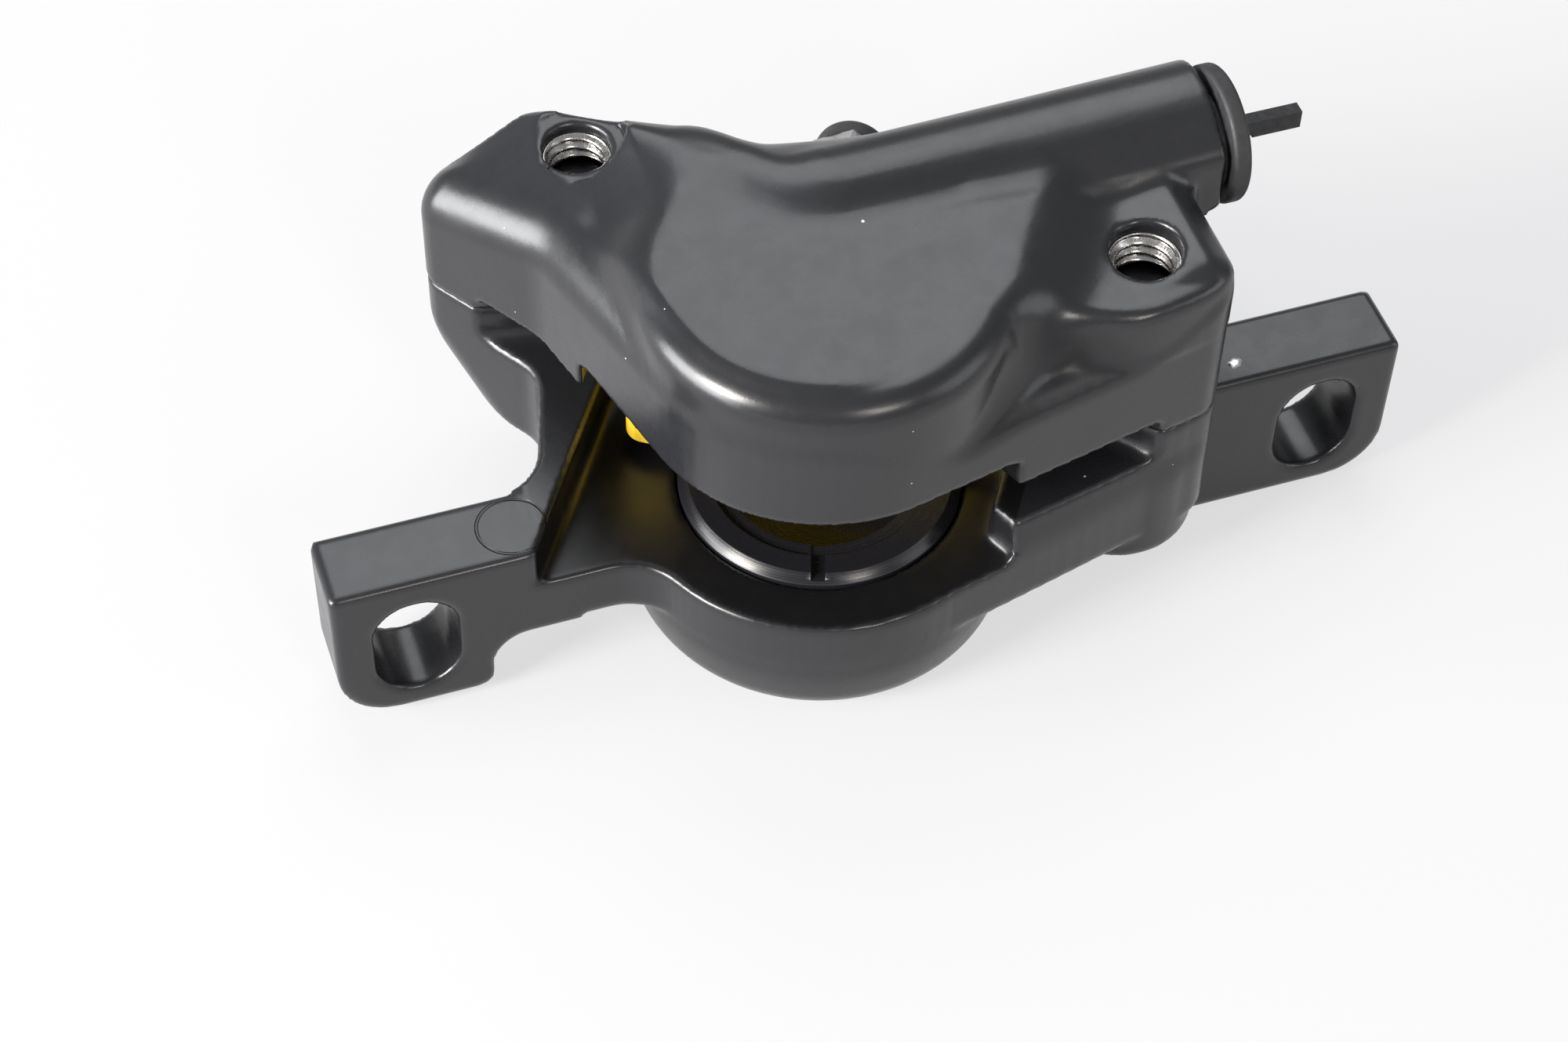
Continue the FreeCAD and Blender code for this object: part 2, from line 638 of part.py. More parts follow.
def mount_half():
    """Cast mount half: ears, arm, piston boss, bolt columns, bore and passages."""
    body = rounded_prism(mount_outline(), ARM_BOTTOM_Z, PARTING_Z)
    body = body.makeFillet(COLUMN_EDGE, level_edges(body, ARM_BOTTOM_Z))
    boss = cone(MOUNT_BOSS_FOOT_RADIUS, MOUNT_BOSS_RADIUS, AXIS, BOSS_BOTTOM_Z, FLOOR_Z)
    boss = boss.makeFillet(MOUNT_BOSS_EDGE, level_edges(boss, BOSS_BOTTOM_Z))
    body = body.fuse(boss)
    foot_radius = BOLT_HEAD_HOLE_RADIUS + BOLT_BOSS_WALL
    for side in (-1, 1):
        foot = disc(foot_radius, bolt_centre(side), COLUMN_BOTTOM_Z, LAND_Z)
        body = body.fuse(foot.makeFillet(BOLT_BOSS_EDGE, level_edges(foot, COLUMN_BOTTOM_Z)))
    rib_length = (rib_point(SIDE_X) - rib_point(AXIS.x)).Length
    rib_start = rib_point(SIDE_X - MOUNT_RIB_INSET)
    body = body.fuse(cylinder(MOUNT_RIB_RADIUS, rib_start, rib_way(), rib_length - BORE_RADIUS))
    pin_boss = disc(PIN_BOSS_RADIUS, turned_point(PIN_U, PIN_V, 0), PIN_BOSS_Z, FLOOR_Z)
    body = body.fuse(pin_boss.makeFillet(PIN_BOSS_EDGE, level_edges(pin_boss, PIN_BOSS_Z)))
    for side in (-1, 1):
        body = body.fuse(mount_ear(side))
    for cut in mount_cuts():
        body = body.cut(cut)
    return body


def top_rim(shape):
    """Pick the edges between a shape's upward faces and its side walls."""
    seen = []
    for face in shape.Faces:
        u0, u1, v0, v1 = face.ParameterRange
        if face.normalAt((u0 + u1) / 2, (v0 + v1) / 2).z < 0.5:
            continue
        for edge in face.Edges:
            twins = [other for other in seen if other.isSame(edge)]
            if twins:
                seen.remove(twins[0])
            else:
                seen.append(edge)
    return seen


def wing():
    """Left wing of the outer half, whose top falls away outwards past the left bolt."""
    plan = rounded_prism(outer_outline(), PARTING_Z, OUTER_FACE_Z)
    fall = math.tan(math.radians(WING_SLOPE_DEG))
    far_x = WING_BEND_X - OVERRUN
    corners = [
        (Vector(far_x, PARTING_Z - OVERRUN, 0), 0),
        (Vector(WING_INNER_X, PARTING_Z - OVERRUN, 0), 0),
        (Vector(WING_INNER_X, WING_Z, 0), 0),
        (Vector(WING_BEND_X, WING_Z, 0), WING_BEND_RADIUS),
        (Vector(far_x, WING_Z - OVERRUN * fall, 0), 0),
    ]
    roof = Part.Face(rounded_wire(corners)).extrude(Vector(0, 0, -2 * OVERRUN))
    roof.Placement = Placement(Vector(0, -OVERRUN, 0), Rotation(ALONG_X, 90))
    body = plan.common(roof)
    return body.makeFillet(WING_EDGE, outside_edges(top_rim(body)))


def outside_edges(edges):
    """Leave out the edges on the wing's hidden inner end."""
    kept = []
    for edge in edges:
        if edge.BoundBox.XMin < WING_INNER_X - LEVEL_TOLERANCE:
            kept.append(edge)
    return kept


def section_wire(table, origin, across):
    """Stand a section table up at a point, its first number along a level direction."""
    corners = []
    for distance, z, radius in table:
        point = origin + across * distance
        corners.append((Vector(point.x, point.y, z), radius))
    return rounded_wire(corners)


def ridge():
    """Hose barrel along X, and the leg that carries on from its bend to the left bolt."""
    bend = section_wire(BARREL_SECTION, Vector(BARREL_BEND_X, 0, 0), ALONG_Y)
    barrel = Part.Face(bend).extrude(Vector(BARREL_END_X - BARREL_BEND_X, 0, 0))
    angle = math.radians(LEG_SECTION_DEG)
    across = Vector(math.cos(angle), math.sin(angle), 0)
    tip = section_wire(LEG_SECTION, Vector(LEG_CREST_X, LEG_CREST_Y, 0), across)
    leg = Part.makeLoft([bend, tip], True, True)
    return barrel.fuse(leg)


def hose_bore():
    """Cut shape of the hose port and the passage from it to the outer bore."""
    mouth = Vector(BARREL_END_X, BARREL_AXIS_Y, BARREL_AXIS_Z)
    inwards = Vector(-1, 0, 0)
    cut = cylinder(HOSE_THREAD_RADIUS, mouth, inwards, HOSE_THREAD_DEPTH)
    cut = cut.fuse(cylinder(HOSE_SEAT_RADIUS, mouth, inwards, HOSE_SEAT_DEPTH))
    return cut.fuse(cylinder(PASSAGE_RADIUS, mouth, inwards, BARREL_END_X - PASSAGE_END_X))


def nipple_bore():
    """Cut shape of the bleed nipple's hole, its spot face and its passage from the outer bore."""
    seat, back = nipple_axis()
    chamber = turned_point(NIPPLE_U, NIPPLE_PASSAGE_V, NIPPLE_PASSAGE_Z)
    way = seat + back * NIPPLE_BORE_RADIUS - chamber
    cut = cylinder(NIPPLE_BORE_RADIUS, chamber, way, way.Length)
    cut = cut.fuse(cylinder(NIPPLE_THREAD_RADIUS + NIPPLE_CLEARANCE, seat, back, OVERRUN))
    spot_radius = NIPPLE_HEX_FLATS / math.sqrt(3) + NIPPLE_SPOT_GAP
    return cut.fuse(cylinder(spot_radius, seat + back * NIPPLE_BOSS_END, back, OVERRUN))


def outer_cuts():
    """Holes, bores and passages of the outer half."""
    cuts = [rotor_sweep(PARTING_Z - OVERRUN, OUTER_LAND_Z, OUTER_LAND_Z)]
    cuts.append(pocket(PARTING_Z - OVERRUN, CEILING_Z))
    cuts.append(bore(CEILING_Z, 1))
    for side, mouth_z in ((-1, WING_Z), (1, RIGHT_PAD_Z)):
        centre = bolt_centre(side)
        thread_end = BOLT_TIP_Z + BOLT_TIP_GAP
        cuts.append(disc(BOLT_RADIUS + THREAD_FIT, centre, PARTING_Z, thread_end))
        core = THREAD_CORE_DIAMETER / 2
        cuts.append(chamfered_hole(core, centre, thread_end, mouth_z, THREAD_MOUTH_CHAMFER))
    cuts.append(disc(SPOT_RADIUS, bolt_centre(-1), WING_Z, OUTER_FACE_Z + OVERRUN))
    cuts.append(hose_bore())
    port = Vector(PORT_X, PORT_Y, PARTING_Z)
    top = Vector(OUTER_PASSAGE_TOP_X, BARREL_AXIS_Y, BARREL_AXIS_Z)
    cuts.append(cylinder(PASSAGE_RADIUS, port, top - port, (top - port).Length))
    cuts.append(nipple_bore())
    pin = turned_point(PIN_U, PIN_V, 0)
    pin_end = CEILING_Z + PIN_TIP_DEPTH + PIN_TIP_GAP
    cuts.append(disc(PIN_RADIUS + PIN_CLEARANCE, pin, CEILING_Z, pin_end))
    return cuts


def outer_half():
    """Cast outer half: piston boss, bolt columns, hose barrel, bore and passages."""
    body = rounded_prism(outer_outline(), PARTING_Z, SHOULDER_Z)
    body = body.makeFillet(SHOULDER_EDGE, level_edges(body, SHOULDER_Z))
    low_end = box(-OVERRUN, BARREL_BEND_X, -OVERRUN, OVERRUN, PARTING_Z - PAST_FACE, OUTER_FACE_Z)
    body = body.cut(low_end)
    boss = disc(OUTER_BOSS_RADIUS, AXIS, PARTING_Z, OUTER_FACE_Z)
    boss = boss.makeFillet(OUTER_BOSS_RIM, level_edges(boss, OUTER_FACE_Z))
    pad = disc(RIGHT_PAD_RADIUS, bolt_centre(1), PARTING_Z, RIGHT_PAD_Z)
    pad = pad.makeFillet(RIGHT_PAD_EDGE, level_edges(pad, RIGHT_PAD_Z))
    pad = pad.common(rounded_prism(outer_outline(), PARTING_Z, RIGHT_PAD_Z + PAST_FACE))
    seat, back = nipple_axis()
    nipple_root = seat - back * NIPPLE_BOSS_ROOT
    nipple_boss = cylinder(NIPPLE_BOSS_RADIUS, nipple_root, back, NIPPLE_BOSS_ROOT + NIPPLE_BOSS_END)
    body = body.fuse([wing(), boss, pad, ridge(), nipple_boss])
    for cut in outer_cuts():
        body = body.cut(cut)
    return body


def body_bolt(side):
    """Socket head bolt that holds the halves together."""
    centre = bolt_centre(side)
    head = disc(BOLT_HEAD_DIAMETER / 2, centre, BOLT_HEAD_Z, BOLT_SEAT_Z)
    head = head.makeChamfer(BOLT_HEAD_EDGE, level_edges(head, BOLT_HEAD_Z))
    shank = disc(BOLT_RADIUS, centre, BOLT_SEAT_Z, BOLT_TIP_Z)
    shank = shank.makeChamfer(BOLT_TIP_CHAMFER, level_edges(shank, BOLT_TIP_Z))
    base = Vector(centre.x, centre.y, BOLT_HEAD_Z)
    socket = hexagon(BOLT_SOCKET_FLATS, base, UP, BOLT_SOCKET_DEPTH)
    return head.fuse(shank).cut(socket).removeSplitter()


def piston(face_z, towards):
    """Cup piston whose open face is at one level; towards points to its rear end."""
    rear_z = face_z + towards * PISTON_LENGTH
    low, high = sorted((face_z, rear_z))
    body = disc(PISTON_RADIUS, AXIS, low, high)
    body = body.makeChamfer(PISTON_RIM_CHAMFER, level_edges(body, face_z))
    body = body.makeChamfer(PISTON_REAR_CHAMFER, level_edges(body, rear_z))
    recess_z = face_z + towards * PISTON_RECESS_DEPTH
    low, high = sorted((face_z, recess_z))
    body = body.cut(disc(PISTON_RECESS_RADIUS, AXIS, low, high))
    step_z = face_z + towards * PISTON_FACE_SINK
    low, high = sorted((face_z, step_z))
    body = body.cut(disc(PISTON_RADIUS - PISTON_FACE_LIP, AXIS, low, high))
    notch_z = face_z + towards * PISTON_NOTCH_DEPTH
    low, high = sorted((face_z, notch_z))
    half = PISTON_NOTCH_WIDTH / 2
    front_y = -PISTON_RADIUS - PAST_FACE
    notch = box(-half, half, front_y, PAST_FACE - PISTON_RECESS_RADIUS, low, high)
    notch.Placement = Placement(AXIS, Rotation(UP, PISTON_NOTCH_DEG)).multiply(notch.Placement)
    return body.cut(notch)


def piston_seal(mouth_z, towards):
    """Square-section seal ring in its groove, round the piston."""
    low, high = seal_levels(mouth_z, towards)
    ring = disc(BORE_RADIUS + SEAL_SECTION, AXIS, low, high)
    return ring.cut(disc(PISTON_RADIUS + SEAL_GAP, AXIS, low, high))


def seal_ring(edge):
    """Ring round the transfer port, in the mount half's parting face."""
    port = Vector(PORT_X, PORT_Y, 0)
    half = PORT_SEAL_WIDTH / 2
    low = PARTING_Z - PORT_GROOVE_DEPTH
    ring = disc(PORT_SEAL_RADIUS + half, port, low, PARTING_Z)
    ring = ring.cut(disc(PORT_SEAL_RADIUS - half, port, low, PARTING_Z))
    if edge > 0:
        ring = ring.makeFillet(edge, level_edges(ring, low) + level_edges(ring, PARTING_Z))
    return ring


def passage_ball():
    """Ball that closes the outer end of the mount half's cross drilling."""
    inset = MOUNT_RIB_INSET + BALL_SINK + BALL_RADIUS
    centre = rib_point(SIDE_X) + rib_way() * inset
    return Part.makeSphere(BALL_RADIUS, centre)


def hose_port_plug():
    """Rubber shipping plug with a stem, a flange and a pull tab."""
    axis_z = BARREL_AXIS_Z + PLUG_FLANGE_RISE
    flange_x = BARREL_END_X + PLUG_GAP
    flange = cylinder(PLUG_FLANGE_RADIUS, Vector(flange_x, BARREL_AXIS_Y, axis_z),
                      ALONG_X, PLUG_FLANGE_THICKNESS)
    flange = flange.makeFillet(PLUG_FLANGE_EDGE, flange.Edges)
    stem_start = Vector(BARREL_END_X - PLUG_STEM_LENGTH, BARREL_AXIS_Y, BARREL_AXIS_Z)
    stem_radius = HOSE_THREAD_RADIUS - PLUG_STEM_CLEARANCE
    stem_length = PLUG_STEM_LENGTH + PLUG_GAP + PLUG_FLANGE_THICKNESS / 2
    stem = cylinder(stem_radius, stem_start, ALONG_X, stem_length)
    tab_x = flange_x + PLUG_FLANGE_THICKNESS / 2
    tab_end = flange_x + PLUG_FLANGE_THICKNESS + PLUG_TAB_LENGTH
    neck_end = flange_x + PLUG_FLANGE_THICKNESS + PLUG_TAB_NECK_LENGTH
    front_y = BARREL_AXIS_Y - PLUG_TAB_THICKNESS / 2
    back_y = BARREL_AXIS_Y + PLUG_TAB_THICKNESS / 2
    top_z = axis_z + PLUG_TAB_HEIGHT / 2
    neck = box(tab_x, neck_end, front_y, back_y, top_z - PLUG_TAB_NECK_HEIGHT, top_z)
    tab = box(neck_end, tab_end, front_y, back_y, top_z - PLUG_TAB_HEIGHT, top_z)
    return flange.fuse([stem, neck, tab]).removeSplitter()


def bleed_nipple():
    """Bleed nipple: threaded shank with a cone seat, hexagon and hose tip."""
    seat, back = nipple_axis()
    foot = seat + back * NIPPLE_SEAT_GAP
    cone_length = NIPPLE_THREAD_RADIUS - NIPPLE_BORE_RADIUS
    body = Part.makeCone(NIPPLE_BORE_RADIUS, NIPPLE_THREAD_RADIUS, cone_length, foot, back)
    shank_length = NIPPLE_HEX_START - NIPPLE_SEAT_GAP - cone_length
    body = body.fuse(cylinder(NIPPLE_THREAD_RADIUS, foot + back * cone_length, back, shank_length))
    hex_base = seat + back * NIPPLE_HEX_START
    body = body.fuse(hexagon(NIPPLE_HEX_FLATS, hex_base, back, NIPPLE_HEX_LENGTH))
    tip_base = seat + back * NIPPLE_TIP_START
    body = body.fuse(cylinder(NIPPLE_TIP_RADIUS, tip_base, back, NIPPLE_TIP_LENGTH))
    bore_start = foot + back * NIPPLE_CROSS_HOLE
    cut = cylinder(NIPPLE_BORE_RADIUS, bore_start, back, NIPPLE_END - NIPPLE_CROSS_HOLE)
    return body.cut(cut).removeSplitter()


def bleed_nipple_cap():
    """Rubber cap over the bleed nipple's tip."""
    seat, back = nipple_axis()
    base = seat + back * NIPPLE_TIP_START
    length = NIPPLE_TIP_LENGTH + CAP_END_WALL
    cap = cylinder(CAP_RADIUS, base, back, length)
    crown = []
    for edge in cap.Edges:
        middle = edge.BoundBox.Center
        if (middle - base).dot(back) > length - CAP_FIT:
            crown.append(edge)
    cap = cap.makeFillet(CAP_EDGE, crown)
    hollow = cylinder(NIPPLE_TIP_RADIUS + CAP_FIT, base, back, NIPPLE_TIP_LENGTH + CAP_FIT)
    return cap.cut(hollow)


def pad_pin():
    """Pin across the pad pocket, put in from the mount half's underside."""
    centre = turned_point(PIN_U, PIN_V, 0)
    tip_z = CEILING_Z + PIN_TIP_DEPTH
    pin = disc(PIN_RADIUS, centre, PIN_SEAT_Z, tip_z)
    pin = pin.makeChamfer(PIN_TIP_CHAMFER, level_edges(pin, tip_z))
    pin = pin.fuse(disc(PIN_HEAD_RADIUS, centre, PIN_HEAD_Z, PIN_SEAT_Z))
    base = Vector(centre.x, centre.y, PIN_HEAD_Z)
    return pin.cut(hexagon(PIN_SOCKET_FLATS, base, UP, PIN_SOCKET_DEPTH)).removeSplitter()


def pad_pin_clip():
    """Open wire ring in the groove under the pin's head."""
    centre = turned_point(PIN_U, PIN_V, CLIP_Z)
    ring_radius = CLIP_OUTER_RADIUS - CLIP_WIRE / 2
    sweep = 360.0 - CLIP_OPENING_DEG
    section = Part.Face(Part.Wire(Part.makeCircle(CLIP_WIRE / 2, Vector(ring_radius, 0, 0), ALONG_Y)))
    ring = section.revolve(Vector(0, 0, 0), UP, sweep)
    ring.Placement = Placement(centre, Rotation(UP, CLIP_OPENING_DEG / 2))
    return ring


def pad_spacer():
    """Plastic spacer that fills the pad pocket between the pistons."""
    low = ROTOR_MID_Z - SPACER_HALF_THICKNESS
    high = ROTOR_MID_Z + SPACER_HALF_THICKNESS
    plan = [
        (Vector(SPACER_LEFT_U, SPACER_FOOT_FRONT_V, 0), SPACER_CORNER),
        (Vector(SPACER_FOOT_RIGHT_U, SPACER_FOOT_FRONT_V, 0), SPACER_CORNER),
        (Vector(SPACER_FOOT_RIGHT_U, SPACER_FRONT_V, 0), SPACER_CORNER),
        (Vector(SPACER_RIGHT_U, SPACER_FRONT_V, 0), SPACER_CORNER),
        (Vector(SPACER_RIGHT_U, SPACER_BACK_V, 0), SPACER_CORNER),
        (Vector(SPACER_LEFT_U, SPACER_BACK_V, 0), SPACER_CORNER),
    ]
    body = rounded_prism(plan, low, high)
    grip_low = ROTOR_MID_Z - SPACER_GRIP_HALF_THICKNESS
    grip_high = ROTOR_MID_Z + SPACER_GRIP_HALF_THICKNESS
    for z0, z1 in ((low, grip_low), (grip_high, high)):
        body = body.cut(box(-OVERRUN, OVERRUN, SPACER_GRIP_FROM_V, OVERRUN, z0, z1))
    rib_low = FLOOR_Z + SPACER_RIB_GAP
    rib_high = CEILING_Z - SPACER_RIB_GAP
    for u0 in (SPACER_LEFT_U, SPACER_RIGHT_U - SPACER_RIB_WIDTH):
        u1 = u0 + SPACER_RIB_WIDTH
        body = body.fuse(box(u0, u1, SPACER_RIB_FRONT_V, SPACER_GRIP_FROM_V, rib_low, rib_high))
    hole = disc(PIN_RADIUS + SPACER_PIN_GAP, Vector(PIN_U, PIN_V, 0), rib_low, rib_high)
    return turned(body.cut(hole).removeSplitter())


os.makedirs("parts", exist_ok=True)
NODES = {
    "mount_half": mount_half(),
    "outer_half": outer_half(),
    "body_bolt_left": body_bolt(-1),
    "body_bolt_right": body_bolt(1),
    "piston_mount_side": piston(MOUNT_PISTON_FACE_Z, -1),
    "piston_outer_side": piston(OUTER_PISTON_FACE_Z, 1),
    "piston_seal_mount_side": piston_seal(FLOOR_Z, -1),
    "piston_seal_outer_side": piston_seal(CEILING_Z, 1),
    "transfer_port_seal": seal_ring(PORT_SEAL_EDGE),
    "passage_ball": passage_ball(),
    "hose_port_plug": hose_port_plug(),
    "bleed_nipple": bleed_nipple(),
    "bleed_nipple_cap": bleed_nipple_cap(),
    "pad_spacer": pad_spacer(),
    "pad_pin": pad_pin(),
    "pad_pin_clip": pad_pin_clip(),
}
for name, shape in NODES.items():
    shape.exportStep("parts/" + name + ".step")
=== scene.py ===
"""Looks of a two-piston, post-mount hydraulic disc brake caliper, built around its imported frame."""

import json
import logging
import math
from dataclasses import dataclass, field
from enum import Enum
from typing import Dict, List, Optional, Sequence, Tuple

import bpy
import numpy as np
from mathutils import Matrix, Vector

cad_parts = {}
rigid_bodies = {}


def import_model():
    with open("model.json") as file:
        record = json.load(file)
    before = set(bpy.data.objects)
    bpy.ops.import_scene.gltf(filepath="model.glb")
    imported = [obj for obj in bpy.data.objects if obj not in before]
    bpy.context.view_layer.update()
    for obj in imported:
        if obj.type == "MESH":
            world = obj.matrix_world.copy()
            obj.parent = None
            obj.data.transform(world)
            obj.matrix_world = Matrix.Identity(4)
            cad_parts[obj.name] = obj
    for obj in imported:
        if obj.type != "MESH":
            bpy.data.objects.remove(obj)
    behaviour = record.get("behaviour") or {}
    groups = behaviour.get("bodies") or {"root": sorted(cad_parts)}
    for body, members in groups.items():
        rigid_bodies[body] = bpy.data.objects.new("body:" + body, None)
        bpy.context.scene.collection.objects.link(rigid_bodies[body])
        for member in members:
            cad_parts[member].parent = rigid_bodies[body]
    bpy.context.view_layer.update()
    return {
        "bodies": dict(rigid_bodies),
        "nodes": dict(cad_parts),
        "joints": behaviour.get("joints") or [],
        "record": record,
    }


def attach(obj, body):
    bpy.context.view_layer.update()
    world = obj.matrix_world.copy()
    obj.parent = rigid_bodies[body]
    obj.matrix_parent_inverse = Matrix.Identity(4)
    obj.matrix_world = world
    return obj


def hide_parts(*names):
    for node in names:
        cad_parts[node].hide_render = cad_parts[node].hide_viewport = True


LOG = logging.getLogger("caliper")
MM = 0.001

Pair = Tuple[float, float]
Corner = Tuple[float, float, float]
Point = Tuple[float, float, float]
Colour = Tuple[float, float, float]
Face = Tuple[int, ...]
Grid = np.ndarray
Socket = bpy.types.NodeSocket

# Piston axis, turn of the castings and body bolts in plan, in millimetres and degrees
AXIS: Pair = (-3.8, 3.9)
TURN_DEG = -32.5
BOLTS: Tuple[Pair, Pair] = ((-16.92, 23.878), (19.851, 0.452))


class Body(Enum):
    """Body of the frame that the scene's own pieces ride on."""

    CALIPER = "caliper"


class Slot(Enum):
    """Material slots of the record."""

    CAST = "cast_body"
    BOLT = "bolt_steel"


# Node building


class Shader:
    """A material's node tree with a principled shader, and short ways to add nodes to it."""

    def __init__(self, name: str) -> None:
        """Start a material.

        Args:
            name: The material's name.
        """
        self.material = bpy.data.materials.new(name)
        self.material.use_nodes = True
        self.tree = self.material.node_tree
        self.tree.nodes.clear()
        self.output = self.tree.nodes.new("ShaderNodeOutputMaterial")
        self.surface = self.tree.nodes.new("ShaderNodeBsdfPrincipled")
        self.join(self.surface.outputs[0], self.output.inputs["Surface"])
        self.place = self.tree.nodes.new("ShaderNodeTexCoord").outputs["Object"]

    def join(self, source: Socket, target: Socket) -> None:
        """Link one socket to another."""
        self.tree.links.new(source, target)

    def put(self, value: object, target: Socket) -> None:
        """Link a socket, or set a plain value, on a node's input."""
        if isinstance(value, Socket):
            self.join(value, target)
        else:
            target.default_value = value

    def set(self, **values: object) -> None:
        """Set the principled shader's inputs, underscores standing for spaces."""
        for name, value in values.items():
            self.put(value, self.surface.inputs[name.replace("_", " ")])

    def calc(self, kind: str, first: object, second: object = 0.0, third: object = 0.0) -> Socket:
        """Add a math node.

        Args:
            kind: The math node's operation.
            first: First value or socket.
            second: Second value or socket.
            third: Third value or socket.

        Returns:
            The node's output socket.
        """
        node = self.tree.nodes.new("ShaderNodeMath")
        node.operation = kind
        for index, value in enumerate((first, second, third)):
            self.put(value, node.inputs[index])
        return node.outputs[0]

    def within(self, value: Socket, low: float, high: float) -> Socket:
        """Give a mask that is 1 where a value lies between two others."""
        above = self.calc("GREATER_THAN", value, low)
        return self.calc("MULTIPLY", above, self.calc("LESS_THAN", value, high))

    def mapped(self, scale: Point, turn: Point = (0.0, 0.0, 0.0)) -> Socket:
        """Give the object's own coordinates scaled and turned.

        Args:
            scale: Scale on each axis.
            turn: Angle about each axis in radians.

        Returns:
            The vector's socket.
        """
        node = self.tree.nodes.new("ShaderNodeMapping")
        node.inputs["Rotation"].default_value = turn
        node.inputs["Scale"].default_value = scale
        self.join(self.place, node.inputs["Vector"])
        return node.outputs[0]

    def noise(self, scale: float, detail: float = 3.0, rough: float = 0.5,
              vector: Optional[Socket] = None) -> Socket:
        """Add a noise texture, its scale in features per metre.

        Args:
            scale: Features per metre.
            detail: Octaves.
            rough: Share of each finer octave.
            vector: Coordinates, the object's own if left out.

        Returns:
            The noise value's socket.
        """
        node = self.tree.nodes.new("ShaderNodeTexNoise")
        node.inputs["Scale"].default_value = scale
        node.inputs["Detail"].default_value = detail
        node.inputs["Roughness"].default_value = rough
        self.join(vector or self.place, node.inputs["Vector"])
        return node.outputs["Fac"]

    def cells(self, scale: float, vector: Optional[Socket] = None) -> Tuple[Socket, Socket]:
        """Add a cell texture.

        Args:
            scale: Cells per metre.
            vector: Coordinates, the object's own if left out.

        Returns:
            The distance socket and the cell colour socket.
        """
        node = self.tree.nodes.new("ShaderNodeTexVoronoi")
        node.inputs["Scale"].default_value = scale
        self.join(vector or self.place, node.inputs["Vector"])
        return node.outputs["Distance"], node.outputs["Color"]

    def spread(self, value: Socket, low: float, high: float,
               out_low: float = 0.0, out_high: float = 1.0) -> Socket:
        """Map a value smoothly from one range to another.

        Args:
            value: The value to map.
            low: Input that gives out_low.
            high: Input that gives out_high.
            out_low: Output at low.
            out_high: Output at high.

        Returns:
            The mapped value's socket.
        """
        node = self.tree.nodes.new("ShaderNodeMapRange")
        node.interpolation_type = "SMOOTHSTEP"
        self.join(value, node.inputs["Value"])
        node.inputs["From Min"].default_value = low
        node.inputs["From Max"].default_value = high
        node.inputs["To Min"].default_value = out_low
        node.inputs["To Max"].default_value = out_high
        return node.outputs["Result"]

    def mix(self, share: object, first: object, second: object) -> Socket:
        """Mix two colours.

        Args:
            share: Value or socket, 0 for the first and 1 for the second.
            first: Colour or socket.
            second: Colour or socket.

        Returns:
            The mixed colour's socket.
        """
        node = self.tree.nodes.new("ShaderNodeMix")
        node.data_type = "RGBA"
        self.put(share, node.inputs[0])
        for index, colour in ((6, first), (7, second)):
            if isinstance(colour, tuple):
                colour = (*colour, 1.0)
            self.put(colour, node.inputs[index])
        return node.outputs[2]

    def part(self, axis: int, vector: Optional[Socket] = None) -> Socket:
        """Give one coordinate of a vector.

        Args:
            axis: 0, 1 or 2.
            vector: Coordinates, the object's own if left out.

        Returns:
            The coordinate's socket.
        """
        node = self.tree.nodes.new("ShaderNodeSeparateXYZ")
        self.join(vector or self.place, node.inputs[0])
        return node.outputs[axis]

    def offsets(self, centre: Pair) -> Tuple[Socket, Socket]:
        """Give the plan offsets in metres from a centre given in millimetres."""
        return tuple(self.calc("ADD", self.part(axis), -centre[axis] * MM) for axis in (0, 1))

    def reach(self, centre: Pair) -> Socket:
        """Give the plan distance from a centre.

        Args:
            centre: The centre in millimetres.

        Returns:
            The socket of the distance in metres.
        """
        across, ahead = self.offsets(centre)
        square = self.calc("MULTIPLY_ADD", ahead, ahead, self.calc("MULTIPLY", across, across))
        return self.calc("SQRT", square)

    def bump(self, height: Socket, depth: float, under: Optional[Socket] = None) -> Socket:
        """Add a bump node.

        Args:
            height: Height socket, from 0 to 1.
            depth: Depth in metres.
            under: Normal socket of a bump below this one.

        Returns:
            The normal socket.
        """
        node = self.tree.nodes.new("ShaderNodeBump")
        node.inputs["Strength"].default_value = 1.0
        node.inputs["Distance"].default_value = depth
        self.join(height, node.inputs["Height"])
        if under is not None:
            self.join(under, node.inputs["Normal"])
        return node.outputs[0]

    def dust(self, amount: float) -> Socket:
        """Give a mask of scattered dust specks and short hairs.

        Args:
            amount: Share of the cells that hold a speck.

        Returns:
            A mask socket.
        """
        speck_cells, speck_size = 420.0, 0.055
        hair_cells, hair_size, hair_share = 330.0, 0.032, 0.5
        hair_tilt = (0.3, 0.2)
        hair_kinds = ((0.6, (1.0, 0.09, 0.5)), (2.2, (1.0, 0.07, 0.4)))
        distance, colour = self.cells(speck_cells)
        chosen = self.calc("LESS_THAN", self.part(0, colour), amount)
        size = self.calc("MULTIPLY", self.part(1, colour), speck_size)
        mask = self.calc("MULTIPLY", self.calc("LESS_THAN", distance, size), chosen)
        for turn, stretch in hair_kinds:
            distance, colour = self.cells(hair_cells, self.mapped(stretch, (*hair_tilt, turn)))
            chosen = self.calc("LESS_THAN", self.part(2, colour), amount * hair_share)
            hairs = self.calc("MULTIPLY", self.calc("LESS_THAN", distance, hair_size), chosen)
            mask = self.calc("MAXIMUM", mask, hairs)
        return mask


def dress(node: bpy.types.Object, material: bpy.types.Material) -> None:
    """Give an object one material in all its slots."""
    if not node.data.materials:
        node.data.materials.append(material)
    for index in range(len(node.data.materials)):
        node.data.materials[index] = material


# Finishes


